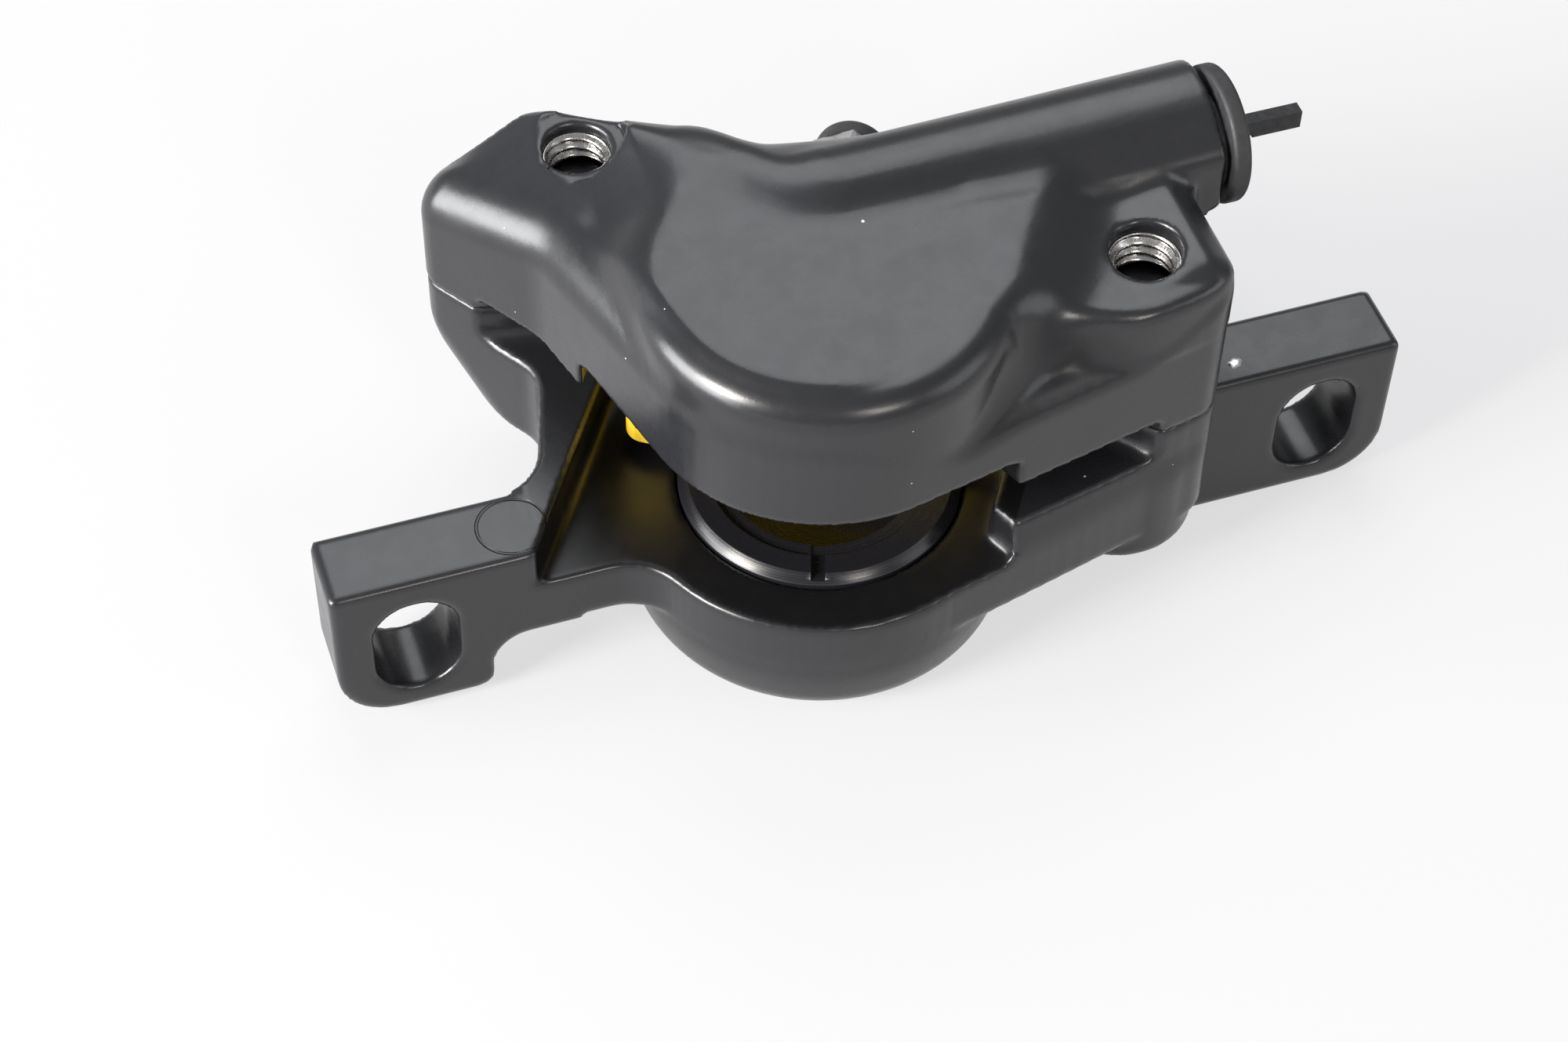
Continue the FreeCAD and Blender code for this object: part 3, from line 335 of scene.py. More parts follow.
@dataclass(frozen=True)
class CastPaint:
    """Satin black coating on the cast halves, darker in the pad pocket as painted shade, and duller where
    the pocket was machined.
    """

    name: str
    dark: Colour = (0.010, 0.0105, 0.012)
    pale: Colour = (0.0122, 0.0128, 0.0148)
    # Painted shade: darker colour laid over the pad pocket, where the two halves shade it
    pocket_painted_shade: Colour = (0.004, 0.004, 0.005)
    machined_dulling: float = 0.2
    speck: Colour = (0.42, 0.41, 0.39)
    dust: float = 0.22
    metal: Colour = (0.62, 0.61, 0.60)
    satin: Pair = (0.25, 0.31)
    peel: float = 0.006 * MM
    grain: float = 0.0035 * MM
    pocket_u: Pair = (-18.1 * MM, 16.0 * MM)
    pocket_z: Pair = (3.7 * MM, 14.85 * MM)
    bare_end_x: Pair = (28.9 * MM, 29.3 * MM)
    bare_end_z: float = 19.0 * MM
    mark: Colour = (0.002, 0.002, 0.002)
    mark_at: Pair = (-28.5, 3.2)
    mark_radius: float = 2.65 * MM
    mark_line: Pair = (0.05 * MM, 0.16 * MM)
    mark_above_z: float = 7.3 * MM
    mark_depth: float = 0.06 * MM
    cloud_noise: Point = (90.0, 4.0, 0.6)
    cloud_span: Pair = (0.3, 0.7)
    satin_noise: Point = (500.0, 4.0, 0.6)
    satin_span: Pair = (0.25, 0.75)
    peel_noise: Point = (1400.0, 2.0, 0.5)
    grain_noise: Point = (7000.0, 3.0, 0.6)

    def pocket_mask(self, shader: Shader) -> Socket:
        """Give a mask that is 1 on the pad pocket's machined faces, where painted shade darkens the colour
        and the finish is duller.

        Args:
            shader: The material under way.

        Returns:
            The mask's socket.
        """
        turn = math.radians(TURN_DEG)
        across, ahead = shader.offsets(AXIS)
        first = shader.calc("MULTIPLY", across, math.cos(turn))
        u = shader.calc("MULTIPLY_ADD", ahead, math.sin(turn), first)
        height = shader.within(shader.part(2), *self.pocket_z)
        return shader.calc("MULTIPLY", shader.within(u, *self.pocket_u), height)

    def ring_mask(self, shader: Shader) -> Socket:
        """Give a mask that is 1 on the round mark an ejector left on the arm's top.

        Args:
            shader: The material under way.

        Returns:
            The mask's socket.
        """
        off = shader.calc("ABSOLUTE", shader.calc("ADD", shader.reach(self.mark_at), -self.mark_radius))
        line = shader.spread(off, *self.mark_line, 1.0, 0.0)
        return shader.calc("MULTIPLY", line, shader.calc("GREATER_THAN", shader.part(2), self.mark_above_z))

    def end_mask(self, shader: Shader) -> Socket:
        """Give a mask that is 1 on the hose barrel's bare end face."""
        across = shader.within(shader.part(0), *self.bare_end_x)
        return shader.calc("MULTIPLY", across, shader.calc("GREATER_THAN", shader.part(2), self.bare_end_z))

    def material(self) -> bpy.types.Material:
        """Build the coating's material.

        Returns:
            The material.
        """
        shader = Shader(self.name)
        cloud = shader.spread(shader.noise(*self.cloud_noise), *self.cloud_span)
        pocket, ring, end = self.pocket_mask(shader), self.ring_mask(shader), self.end_mask(shader)
        colour = shader.mix(cloud, self.dark, self.pale)
        # Painted shade: the pad pocket's colour is darkened
        colour = shader.mix(pocket, colour, self.pocket_painted_shade)
        colour = shader.mix(ring, colour, self.mark)
        colour = shader.mix(shader.dust(self.dust), colour, self.speck)
        shader.set(Base_Color=shader.mix(end, colour, self.metal), Metallic=end)
        satin = shader.spread(shader.noise(*self.satin_noise), *self.satin_span, *self.satin)
        dulling = shader.calc("MULTIPLY_ADD", pocket, self.machined_dulling, 1.0)
        shader.set(Roughness=shader.calc("MULTIPLY", satin, dulling), Specular_IOR_Level=0.5)
        peel = shader.bump(shader.noise(*self.peel_noise), self.peel)
        grain = shader.bump(shader.noise(*self.grain_noise), self.grain, peel)
        shader.set(Normal=shader.bump(shader.calc("SUBTRACT", 1.0, ring), self.mark_depth, grain))
        return shader.material


@dataclass(frozen=True)
class Metal:
    """Machined metal with fine marks."""

    name: str
    colour: Colour
    rough: Pair = (0.22, 0.38)
    stain: Colour = (0.16, 0.155, 0.15)
    stain_share: float = 0.6
    stretch: Point = (1.0, 1.0, 0.08)
    line_noise: Point = (6000.0, 3.0, 0.6)
    line_span: Pair = (0.3, 0.7)
    stain_noise: Point = (700.0, 4.0, 0.6)
    stain_span: Pair = (0.52, 0.72)
    depth: float = 0.006 * MM

    def material(self) -> bpy.types.Material:
        """Build the metal's material.

        Returns:
            The material.
        """
        shader = Shader(self.name)
        lines = shader.noise(*self.line_noise, shader.mapped(self.stretch))
        blotch = shader.spread(shader.noise(*self.stain_noise), *self.stain_span, 0.0, self.stain_share)
        shader.set(Base_Color=shader.mix(blotch, self.colour, self.stain), Metallic=1.0)
        shader.set(Roughness=shader.spread(lines, *self.line_span, *self.rough))
        shader.set(Normal=shader.bump(lines, self.depth))
        return shader.material


@dataclass(frozen=True)
class Moulded:
    """Moulded plastic or rubber, with a faint surface grain and settled dust."""

    name: str
    colour: Colour
    worn: Colour
    rough: Pair
    grain: float = 0.01 * MM
    dust: float = 0.08
    speck: Colour = (0.4, 0.39, 0.37)
    cloud_noise: Point = (260.0, 5.0, 0.65)
    cloud_span: Pair = (0.35, 0.7)
    rough_noise: Point = (1500.0, 3.0, 0.5)
    rough_span: Pair = (0.3, 0.7)
    grain_noise: Point = (4200.0, 3.0, 0.6)

    def material(self) -> bpy.types.Material:
        """Build the moulded material.

        Returns:
            The material.
        """
        shader = Shader(self.name)
        cloud = shader.spread(shader.noise(*self.cloud_noise), *self.cloud_span)
        colour = shader.mix(cloud, self.colour, self.worn)
        if self.dust:
            colour = shader.mix(shader.dust(self.dust), colour, self.speck)
        shader.set(Base_Color=colour)
        shader.set(Roughness=shader.spread(shader.noise(*self.rough_noise), *self.rough_span, *self.rough))
        shader.set(Normal=shader.bump(shader.noise(*self.grain_noise), self.grain))
        return shader.material


@dataclass(frozen=True)
class TurnedPhenolic:
    """Black piston material with fine turned rings about its axis."""

    name: str
    colour: Colour = (0.008, 0.008, 0.010)
    rough: Pair = (0.2, 0.34)
    rings_per_metre: float = 9000.0
    depth: float = 0.006 * MM
    dust: float = 0.06
    speck: Colour = (0.35, 0.34, 0.32)

    def material(self) -> bpy.types.Material:
        """Build the piston's material.

        Returns:
            The material.
        """
        shader = Shader(self.name)
        rings = shader.tree.nodes.new("ShaderNodeTexNoise")
        rings.noise_dimensions = "1D"
        rings.inputs["Scale"].default_value = self.rings_per_metre
        shader.join(shader.reach(AXIS), rings.inputs["W"])
        colour = shader.mix(shader.dust(self.dust), self.colour, self.speck)
        shader.set(Base_Color=colour, Specular_IOR_Level=0.35)
        shader.set(Roughness=shader.spread(rings.outputs["Fac"], 0.3, 0.7, *self.rough))
        shader.set(Normal=shader.bump(rings.outputs["Fac"], self.depth))
        return shader.material


# Solid forms worked out on a grid of distances


def round_join(first: Grid, second: Grid, radius: object) -> Grid:
    """Join two distance fields with a hollow fillet of a radius."""
    reach = np.hypot(np.maximum(radius - first, 0), np.maximum(radius - second, 0))
    return np.maximum(radius, np.minimum(first, second)) - reach


def round_meet(first: Grid, second: Grid, radius: object) -> Grid:
    """Keep what two distance fields share, their meeting edge rounded to a radius."""
    reach = np.hypot(np.maximum(radius + first, 0), np.maximum(radius + second, 0))
    return np.minimum(-radius, np.maximum(first, second)) + reach


@dataclass(frozen=True)
class Ease:
    """Smooth change from nothing at one place to a gain at another."""

    low: float
    high: float
    gain: float = 1.0

    def __call__(self, value: Grid) -> Grid:
        """Give the change at each value."""
        share = np.clip((value - self.low) / (self.high - self.low), 0, 1)
        return self.gain * share * share * (3 - 2 * share)


def rounded_outline(corners: Sequence[Corner], steps: int = 7) -> np.ndarray:
    """Give the points of a closed outline whose corners are arcs.

    Args:
        corners: Corners as (x, y, radius).
        steps: Points on each arc.

    Returns:
        An array of points, one row each.
    """
    points: List[np.ndarray] = []
    count = len(corners)
    for index, (x, y, radius) in enumerate(corners):
        here = np.array((x, y))
        back = np.array(corners[index - 1][:2]) - here
        ahead = np.array(corners[(index + 1) % count][:2]) - here
        back /= np.linalg.norm(back)
        ahead /= np.linalg.norm(ahead)
        if radius <= 0:
            points.append(here)
            continue
        half = math.acos(float(np.clip(back @ ahead, -1, 1))) / 2
        middle = (back + ahead) / np.linalg.norm(back + ahead)
        centre = here + middle * radius / math.sin(half)
        start = here + back * radius / math.tan(half) - centre
        end = here + ahead * radius / math.tan(half) - centre
        first = math.atan2(start[1], start[0])
        sweep = (math.atan2(end[1], end[0]) - first + math.pi) % (2 * math.pi) - math.pi
        for step in range(steps + 1):
            angle = first + sweep * step / steps
            points.append(centre + radius * np.array((math.cos(angle), math.sin(angle))))
    return np.array(points)


def outline_distance(points: np.ndarray, x: Grid, y: Grid) -> Grid:
    """Signed distance from plan positions to a closed outline, below 0 inside it.

    Args:
        points: The outline's points.
        x: First coordinates.
        y: Second coordinates.

    Returns:
        The distances, in the shape of x and y together.
    """
    x, y = np.broadcast_arrays(x, y)
    best = np.full(x.shape, np.inf)
    inside = np.zeros(x.shape, bool)
    for index in range(len(points)):
        x0, y0 = points[index - 1]
        x1, y1 = points[index]
        run, rise = x1 - x0, y1 - y0
        length = run * run + rise * rise
        if length < 1e-12:
            continue
        along = np.clip(((x - x0) * run + (y - y0) * rise) / length, 0, 1)
        best = np.minimum(best, (x - x0 - along * run) ** 2 + (y - y0 - along * rise) ** 2)
        if rise:
            crosses = (y0 > y) != (y1 > y)
            inside ^= crosses & (x < run * (y - y0) / rise + x0)
    return np.where(inside, -1.0, 1.0) * np.sqrt(best)


def new_piece(name: str, points: List[Point], faces: List[Face]) -> bpy.types.Object:
    """Make a smooth-shaded object and link it to the scene.

    Args:
        name: The object's name.
        points: Points in metres.
        faces: Faces as indices of points.

    Returns:
        The new object.
    """
    mesh = bpy.data.meshes.new(name)
    mesh.from_pydata(points, [], faces)
    mesh.validate()
    mesh.shade_smooth()
    piece = bpy.data.objects.new(name, mesh)
    bpy.context.scene.collection.objects.link(piece)
    return piece


def net_piece(name: str, values: Grid, low: np.ndarray, pitch: float) -> bpy.types.Object:
    """Make the piece whose surface is a distance field's zero level.

    Args:
        name: The object's name.
        values: Distances on a regular grid, below 0 inside.
        low: The grid's lowest corner in millimetres.
        pitch: The grid's pitch in millimetres.

    Returns:
        The new object.
    """
    solid = values < 0
    shape = np.array(values.shape) - 1
    corners = [(i, j, k) for i in (0, 1) for j in (0, 1) for k in (0, 1)]

    def shifted(corner: Tuple[int, int, int]) -> Grid:
        """Give the solid mask at one corner of every cell."""
        i, j, k = corner
        return solid[i:i + shape[0], j:j + shape[1], k:k + shape[2]]

    count = sum(shifted(corner).astype(np.int8) for corner in corners)
    active = np.argwhere((count > 0) & (count < len(corners)))
    number = np.full(shape, -1, np.int64)
    number[tuple(active.T)] = np.arange(len(active))
    at = {c: values[active[:, 0] + c[0], active[:, 1] + c[1], active[:, 2] + c[2]] for c in corners}
    total = np.zeros((len(active), 3))
    hits = np.zeros(len(active))
    for first in corners:
        for axis in range(3):
            if first[axis]:
                continue
            second = tuple(1 if k == axis else first[k] for k in range(3))
            a, b = at[first], at[second]
            cut = (a < 0) != (b < 0)
            share = np.where(cut, a / np.where(cut, a - b, 1), 0)
            spot = np.tile(np.array(first, float), (len(active), 1))
            spot[:, axis] += share
            total += spot * cut[:, None]
            hits += cut
    points = (low + (active + total / hits[:, None]) * pitch) * MM
    quads = []
    for axis in range(3):
        one, two = [k for k in range(3) if k != axis]
        near = np.swapaxes(solid, 0, axis)
        change = np.swapaxes(near[1:] != near[:-1], 0, axis)
        spots = np.argwhere(change)
        keep = (spots[:, one] > 0) & (spots[:, two] > 0)
        keep &= (spots[:, one] < shape[one]) & (spots[:, two] < shape[two])
        spots = spots[keep]
        ring = []
        for step_one, step_two in ((-1, -1), (0, -1), (0, 0), (-1, 0)):
            cell = spots.copy()
            cell[:, one] += step_one
            cell[:, two] += step_two
            ring.append(number[tuple(cell.T)])
        quad = np.stack(ring, 1)
        outward = solid[tuple(spots.T)] ^ (axis == 1)
        quads.append(np.where(outward[:, None], quad, quad[:, ::-1]))
    return new_piece(name, points.tolist(), np.concatenate(quads).tolist())


@dataclass
class Casting:
    """What the two castings share: the grid, the turned frame, the pocket and the outline's back.

    Sizes are in millimetres. An Ease on a size names how it changes along the part.
    """

    name: str
    node: str
    low: Point
    high: Point
    boss_radius: float
    flanks_deg: Pair
    left: Tuple[Corner, ...]
    pitch: float = 0.32
    plan_steps: int = 16
    parting_z: float = 10.6
    seam_edge: float = 0.25
    side_x: float = 25.9
    column_corner: float = 3.0
    back: Tuple[Corner, ...] = (
        (25.9, 17.0, 3.0), (9.0, 18.8, 6.0), (-5.5, 21.0, 5.0), (-12.5, 27.4, 4.0),
        (-18.0, 29.4, 6.0), (-30.6, 29.7, 2.4),
    )
    bore_radius: float = 11.1
    rotor_radius: float = 84.0
    rotor_reach: float = 9.0
    pocket_u: Pair = (-18.0, 14.0)
    pocket_step: Ease = Ease(2.4, 4.4, 2.1)
    pocket_edge: float = 0.8
    cut_edge: float = 0.3

    def axes(self) -> Tuple[Grid, Grid, Grid]:
        """Give the grid's coordinates, each on its own axis."""
        lines = [np.arange(self.low[k], self.high[k], self.pitch) for k in range(3)]
        return lines[0][:, None, None], lines[1][None, :, None], lines[2][None, None, :]

    def turned(self, x: Grid, y: Grid) -> Tuple[Grid, Grid]:
        """Give plan positions in the casting's turned frame.

        Args:
            x: First coordinates.
            y: Second coordinates.

        Returns:
            The first and the second turned coordinates.
        """
        turn = math.radians(TURN_DEG)
        dx, dy = x - AXIS[0], y - AXIS[1]
        return dx * math.cos(turn) + dy * math.sin(turn), dy * math.cos(turn) - dx * math.sin(turn)

    def flank(self, radius: float, degrees: float) -> Tuple[np.ndarray, np.ndarray]:
        """Give a plan line that touches a circle about the piston axis.

        Args:
            radius: The circle's radius.
            degrees: The line's direction.

        Returns:
            A point of the line, and its direction of length 1.
        """
        angle = math.radians(degrees)
        way = np.array((math.cos(angle), math.sin(angle)))
        return np.array(AXIS) + np.array((way[1], -way[0])) * radius, way

    def boss_and_column(self) -> List[Corner]:
        """Give the outline's corners at the piston boss's toe and the right column.

        Returns:
            Two corners as (x, y, radius).
        """
        first, way1 = self.flank(self.boss_radius, self.flanks_deg[0])
        second, way2 = self.flank(self.boss_radius, self.flanks_deg[1])
        share = np.linalg.solve(np.array((way1, -way2)).T, second - first)
        toe = first + way1 * share[0]
        right = second + way2 * ((self.side_x - second[0]) / way2[0])
        return [
            (float(toe[0]), float(toe[1]), self.boss_radius),
            (float(right[0]), float(right[1]), self.column_corner),
        ]

    def plan_corners(self) -> List[Corner]:
        """Give the plan outline's corners, from the piston boss round to the left."""
        return self.boss_and_column() + list(self.back) + list(self.left)

    def plan_distance(self, corners: Sequence[Corner], x: Grid, y: Grid, steps: int = 7) -> Grid:
        """Give the distance to an upright wall over a rounded outline."""
        return outline_distance(rounded_outline(corners, steps), x[:, :, 0], y[:, :, 0])[:, :, None]

    def rod(self, x: Grid, y: Grid, z: Grid, base: Sequence[float], way: Sequence[float], radius: float,
            start: float, end: float) -> Grid:
        """Give the distance to a cylinder between two places on its axis.

        Args:
            x: First coordinates.
            y: Second coordinates.
            z: Third coordinates.
            base: Point on the axis.
            way: The axis's direction, of length 1.
            radius: The cylinder's radius.
            start: Where it starts along the axis.
            end: Where it ends along the axis.

        Returns:
            The distances.
        """
        gaps = (x - base[0], y - base[1], z - base[2])
        along = sum(gap * share for gap, share in zip(gaps, way))
        square = sum(gap * gap for gap in gaps)
        out = np.sqrt(np.maximum(square - along * along, 0)) - radius
        return np.maximum(out, np.maximum(start - along, along - end))

    def bore(self, x: Grid, y: Grid) -> Grid:
        """Give the plan distance to the piston bore."""
        return np.hypot(x - AXIS[0], y - AXIS[1]) - self.bore_radius

    def rotor(self, x: Grid, y: Grid) -> Grid:
        """Give the plan distance to the rotor's clearance sweep."""
        u, v = self.turned(x, y)
        return np.hypot(u, v - (self.rotor_reach - self.rotor_radius)) - self.rotor_radius

    def pad_pocket(self, x: Grid, y: Grid, level: Grid) -> Grid:
        """Give the distance to the pad pocket's cut shape.

        Args:
            x: First coordinates.
            y: Second coordinates.
            level: Distance past the pocket's floor or ceiling, above 0 in the metal.

        Returns:
            The distances.
        """
        u, v = self.turned(x, y)
        left, right = self.pocket_u
        return round_meet(np.maximum(left - u, u - right - self.pocket_step(-v)), level, self.pocket_edge)

    def build(self, finish: bpy.types.Material) -> bpy.types.Object:
        """Make the casting and put it in place of its plain solid.

        Args:
            finish: The casting's material.

        Returns:
            The new piece.
        """
        x, y, z = self.axes()
        form = self.outside(x, y, z)
        for cut in self.cuts(x, y, z):
            form = round_meet(form, -cut, self.cut_edge)
        piece = net_piece(self.name, form, np.array(self.low), self.pitch)
        dress(piece, finish)
        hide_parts(self.node)
        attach(piece, Body.CALIPER.value)
        return piece


@dataclass
class OuterCasting(Casting):
    """Upper casting with the soft blends of the real one, in place of its plain solid."""

    name: str = "outer_casting"
    node: str = "outer_half"
    low: Point = (-33.0, -13.0, 9.4)
    high: Point = (31.0, 32.0, 30.4)
    boss_radius: float = 14.2
    flanks_deg: Pair = (-76.1, 12.1)
    left: Tuple[Corner, ...] = ((-22.3, 16.9, 8.0),)
    land_z: float = 12.0
    land_edge: float = 0.9
    ceiling_z: float = 14.8
    bore_end_z: float = 23.0
    face_z: float = 27.0
    boss_rim: float = 2.3
    lobe: Tuple[Corner, ...] = (
        (-3.8, 3.9, 0.0), (2.6, -8.7, 0.0), (9.6, -3.0, 7.0), (16.3, 7.4, 0.5), (16.3, 14.0, 0.0),
    )
    boss_blend_least: float = 0.3
    boss_blend: Ease = Ease(0.1, 3.0, 4.7)
    wing_z: float = 24.4
    wing_bend_x: float = -18.5
    wing_slope_deg: float = 23.0
    wing_back_y: float = 24.5
    wing_back_fall: Ease = Ease(-27.0, -18.0, 0.35)
    shoulder_edge: float = 3.0
    shoulder_edge_less: Ease = Ease(2.0, 9.0, 1.2)
    scoop_share: Ease = Ease(-9.0, 4.0)
    scoop_z: float = 20.2
    scoop_rise: Ease = Ease(17.0, 26.5, 3.8)
    scoop_climb: float = 0.35
    scoop_margin: float = 0.5
    pad_z: float = 24.6
    pad_centre: Pair = (18.9, 4.9)
    pad_radius: float = 10.6
    pad_corner: float = 0.6
    pad_edge: float = 1.1
    pad_blend_least: float = 0.5
    pad_blend: Ease = Ease(0.0, 2.5, 3.4)
    barrel_end_x: float = 29.0
    barrel_foot_z: float = 15.0
    barrel_front: float = 4.1
    barrel_front_edge: float = 0.7
    barrel_back: float = 6.9
    barrel_back_edge: float = 4.6
    barrel_blend: float = 1.2
    crest_y: float = 9.75
    crest_z: float = 28.8
    crest_edge: float = 1.0
    crest_skew: float = 0.03
    crest_fall_x: float = -1.0
    crest_fall: float = 0.117
    crest_slope_deg: float = 41.0
    crest_slope_less: Ease = Ease(9.0, 16.0, 6.0)
    bend_x: float = -4.6
    bend_width: float = 2.0
    leg_lean: float = 1.12
    leg_share: Ease = Ease(-3.0, 9.0)
    leg_front_more: float = 1.5
    leg_back: float = 4.6
    leg_back_edge_less: float = 2.0
    leg_blend: Ease = Ease(7.0, 13.0, 3.0)
    tip_share: Ease = Ease(7.5, 14.0)
    tip_back: float = 2.0
    tip_back_edge_less: float = 1.6
    tip_fall_x: float = -13.5
    tip_fall: float = 0.55
    overhang: Ease = Ease(0.0, 6.0, 4.0)
    overhang_share: Ease = Ease(19.0, 21.5)
    bolt_radius: float = 3.02
    bolt_top_z: float = 21.3
    mouth_radii: Pair = (2.6, 2.75)
    spot_radius: float = 3.9
    port_yz: Pair = (11.2, 23.6)
    port_way: Point = (-1.0, 0.0, 0.0)
    port_rod: Point = (4.1, -5.0, 6.5)
    nipple_seat: Point = (1.66, 17.4955, 19.6)
    nipple_way: Point = (0.52134, 0.81834, -0.24192)
    nipple_boss: Point = (3.7, -3.0, 2.6)
    nipple_blend: float = 0.8
    nipple_bore: Point = (2.75, 0.0, 40.0)
    nipple_recess: Point = (3.9, 2.6, 40.0)

    def roof(self, x: Grid, y: Grid, plan: Grid) -> Grid:
        """Give the level of the wing, and of the scoop that climbs inwards from the right flank.

        Args:
            x: First coordinates.
            y: Second coordinates.
            plan: Distances to the plan outline.

        Returns:
            The levels.
        """
        fall = self.wing_bend_x - x
        drop = math.tan(math.radians(self.wing_slope_deg)) * (fall + np.sqrt(fall * fall + 1)) / 2
        drop = drop + self.wing_back_fall(x) * np.maximum(y - self.wing_back_y, 0)
        climb = self.scoop_climb * np.maximum(-plan - self.scoop_margin, 0)
        scoop = np.minimum(self.scoop_z + self.scoop_rise(x) + climb, self.wing_z)
        share = self.scoop_share(x)
        return (self.wing_z - drop) * (1 - share) + scoop * share

    def ridge(self, x: Grid, y: Grid, z: Grid) -> Grid:
        """Give the distance to the hose barrel and the leg that its bend leads into.

        Args:
            x: First coordinates.
            y: Second coordinates.
            z: Third coordinates.

        Returns:
            The distances.
        """
        past = self.bend_x - x
        root = np.sqrt(past * past + self.bend_width * self.bend_width)
        crest_y = self.crest_y + self.crest_skew * np.maximum(x, 0) + self.leg_lean / 2 * (past + root)
        lean = self.leg_lean / 2 * (1 + past / root)
        behind = (y - crest_y) / np.sqrt(1 + lean * lean)
        top = self.crest_z - self.crest_fall * np.maximum(self.crest_fall_x - x, 0)
        top = top - self.tip_fall * np.maximum(self.tip_fall_x - x, 0)
        angle = np.radians(self.crest_slope_deg - self.crest_slope_less(x))
        front = (z - top) * np.cos(angle) - behind * np.sin(angle)
        leg, tip = self.leg_share(past), self.tip_share(-x)
        back = self.barrel_back - (self.barrel_back - self.leg_back) * leg
        back = back - (self.leg_back - self.tip_back) * tip
        back_edge = self.barrel_back_edge - self.leg_back_edge_less * leg - self.tip_back_edge_less * tip
        form = round_meet(np.maximum(z - top, self.barrel_foot_z - z), front, self.crest_edge)
        form = round_meet(form, behind - back, back_edge)
        front_wall = -behind - self.barrel_front - self.leg_front_more * leg
        form = round_meet(form, front_wall, self.barrel_front_edge)
        return np.maximum(form, x - self.barrel_end_x)

    def outside(self, x: Grid, y: Grid, z: Grid) -> Grid:
        """Give the distance to the casting's outer form.

        Args:
            x: First coordinates.
            y: Second coordinates.
            z: Third coordinates.

        Returns:
            The distances.
        """
        plan = self.plan_distance(self.plan_corners(), x, y, self.plan_steps)
        body = round_meet(plan, z - self.roof(x, y, plan), self.shoulder_edge - self.shoulder_edge_less(x))
        boss = np.hypot(x - AXIS[0], y - AXIS[1]) - self.boss_radius
        boss = np.minimum(boss, self.plan_distance(self.lobe, x, y))
        boss = round_meet(boss, z - self.face_z, self.boss_rim)
        form = round_join(body, boss, self.boss_blend_least + self.boss_blend(-plan))
        px, py = self.pad_centre
        pad = round_meet(np.hypot(x - px, y - py) - self.pad_radius, plan, self.pad_corner)
        pad = round_meet(pad, z - self.pad_z, self.pad_edge)
        form = round_join(form, pad, self.pad_blend_least + self.pad_blend(-plan))
        form = round_join(form, self.ridge(x, y, z), self.barrel_blend + self.leg_blend(-x))
        form = np.maximum(form, plan - self.overhang(x) * self.overhang_share(z))
        nipple = self.rod(x, y, z, self.nipple_seat, self.nipple_way, *self.nipple_boss)
        form = round_join(form, nipple, self.nipple_blend)
        form = np.maximum(form, x - self.barrel_end_x)
        return round_meet(form, self.parting_z - z, self.seam_edge)

    def cuts(self, x: Grid, y: Grid, z: Grid) -> List[Grid]:
        """Give the distances to everything that was cut out of the casting.

        Args:
            x: First coordinates.
            y: Second coordinates.
            z: Third coordinates.

        Returns:
            The distances to each cut.
        """
        found = [
            self.pad_pocket(x, y, z - self.ceiling_z),
            round_meet(self.rotor(x, y), z - self.land_z, self.land_edge),
            np.maximum(self.bore(x, y), z - self.bore_end_z),
        ]
        for (bx, by), mouth in zip(BOLTS, self.mouth_radii):
            out = np.hypot(x - bx, y - by)
            found.append(np.maximum(out - self.bolt_radius, z - self.bolt_top_z))
            found.append(out - mouth + 0 * z)
        bx, by = BOLTS[0]
        found.append(np.maximum(np.hypot(x - bx, y - by) - self.spot_radius, self.wing_z - z))
        end = (self.barrel_end_x, *self.port_yz)
        found.append(self.rod(x, y, z, end, self.port_way, *self.port_rod))
        for rod in (self.nipple_bore, self.nipple_recess):
            found.append(self.rod(x, y, z, self.nipple_seat, self.nipple_way, *rod))
        return found


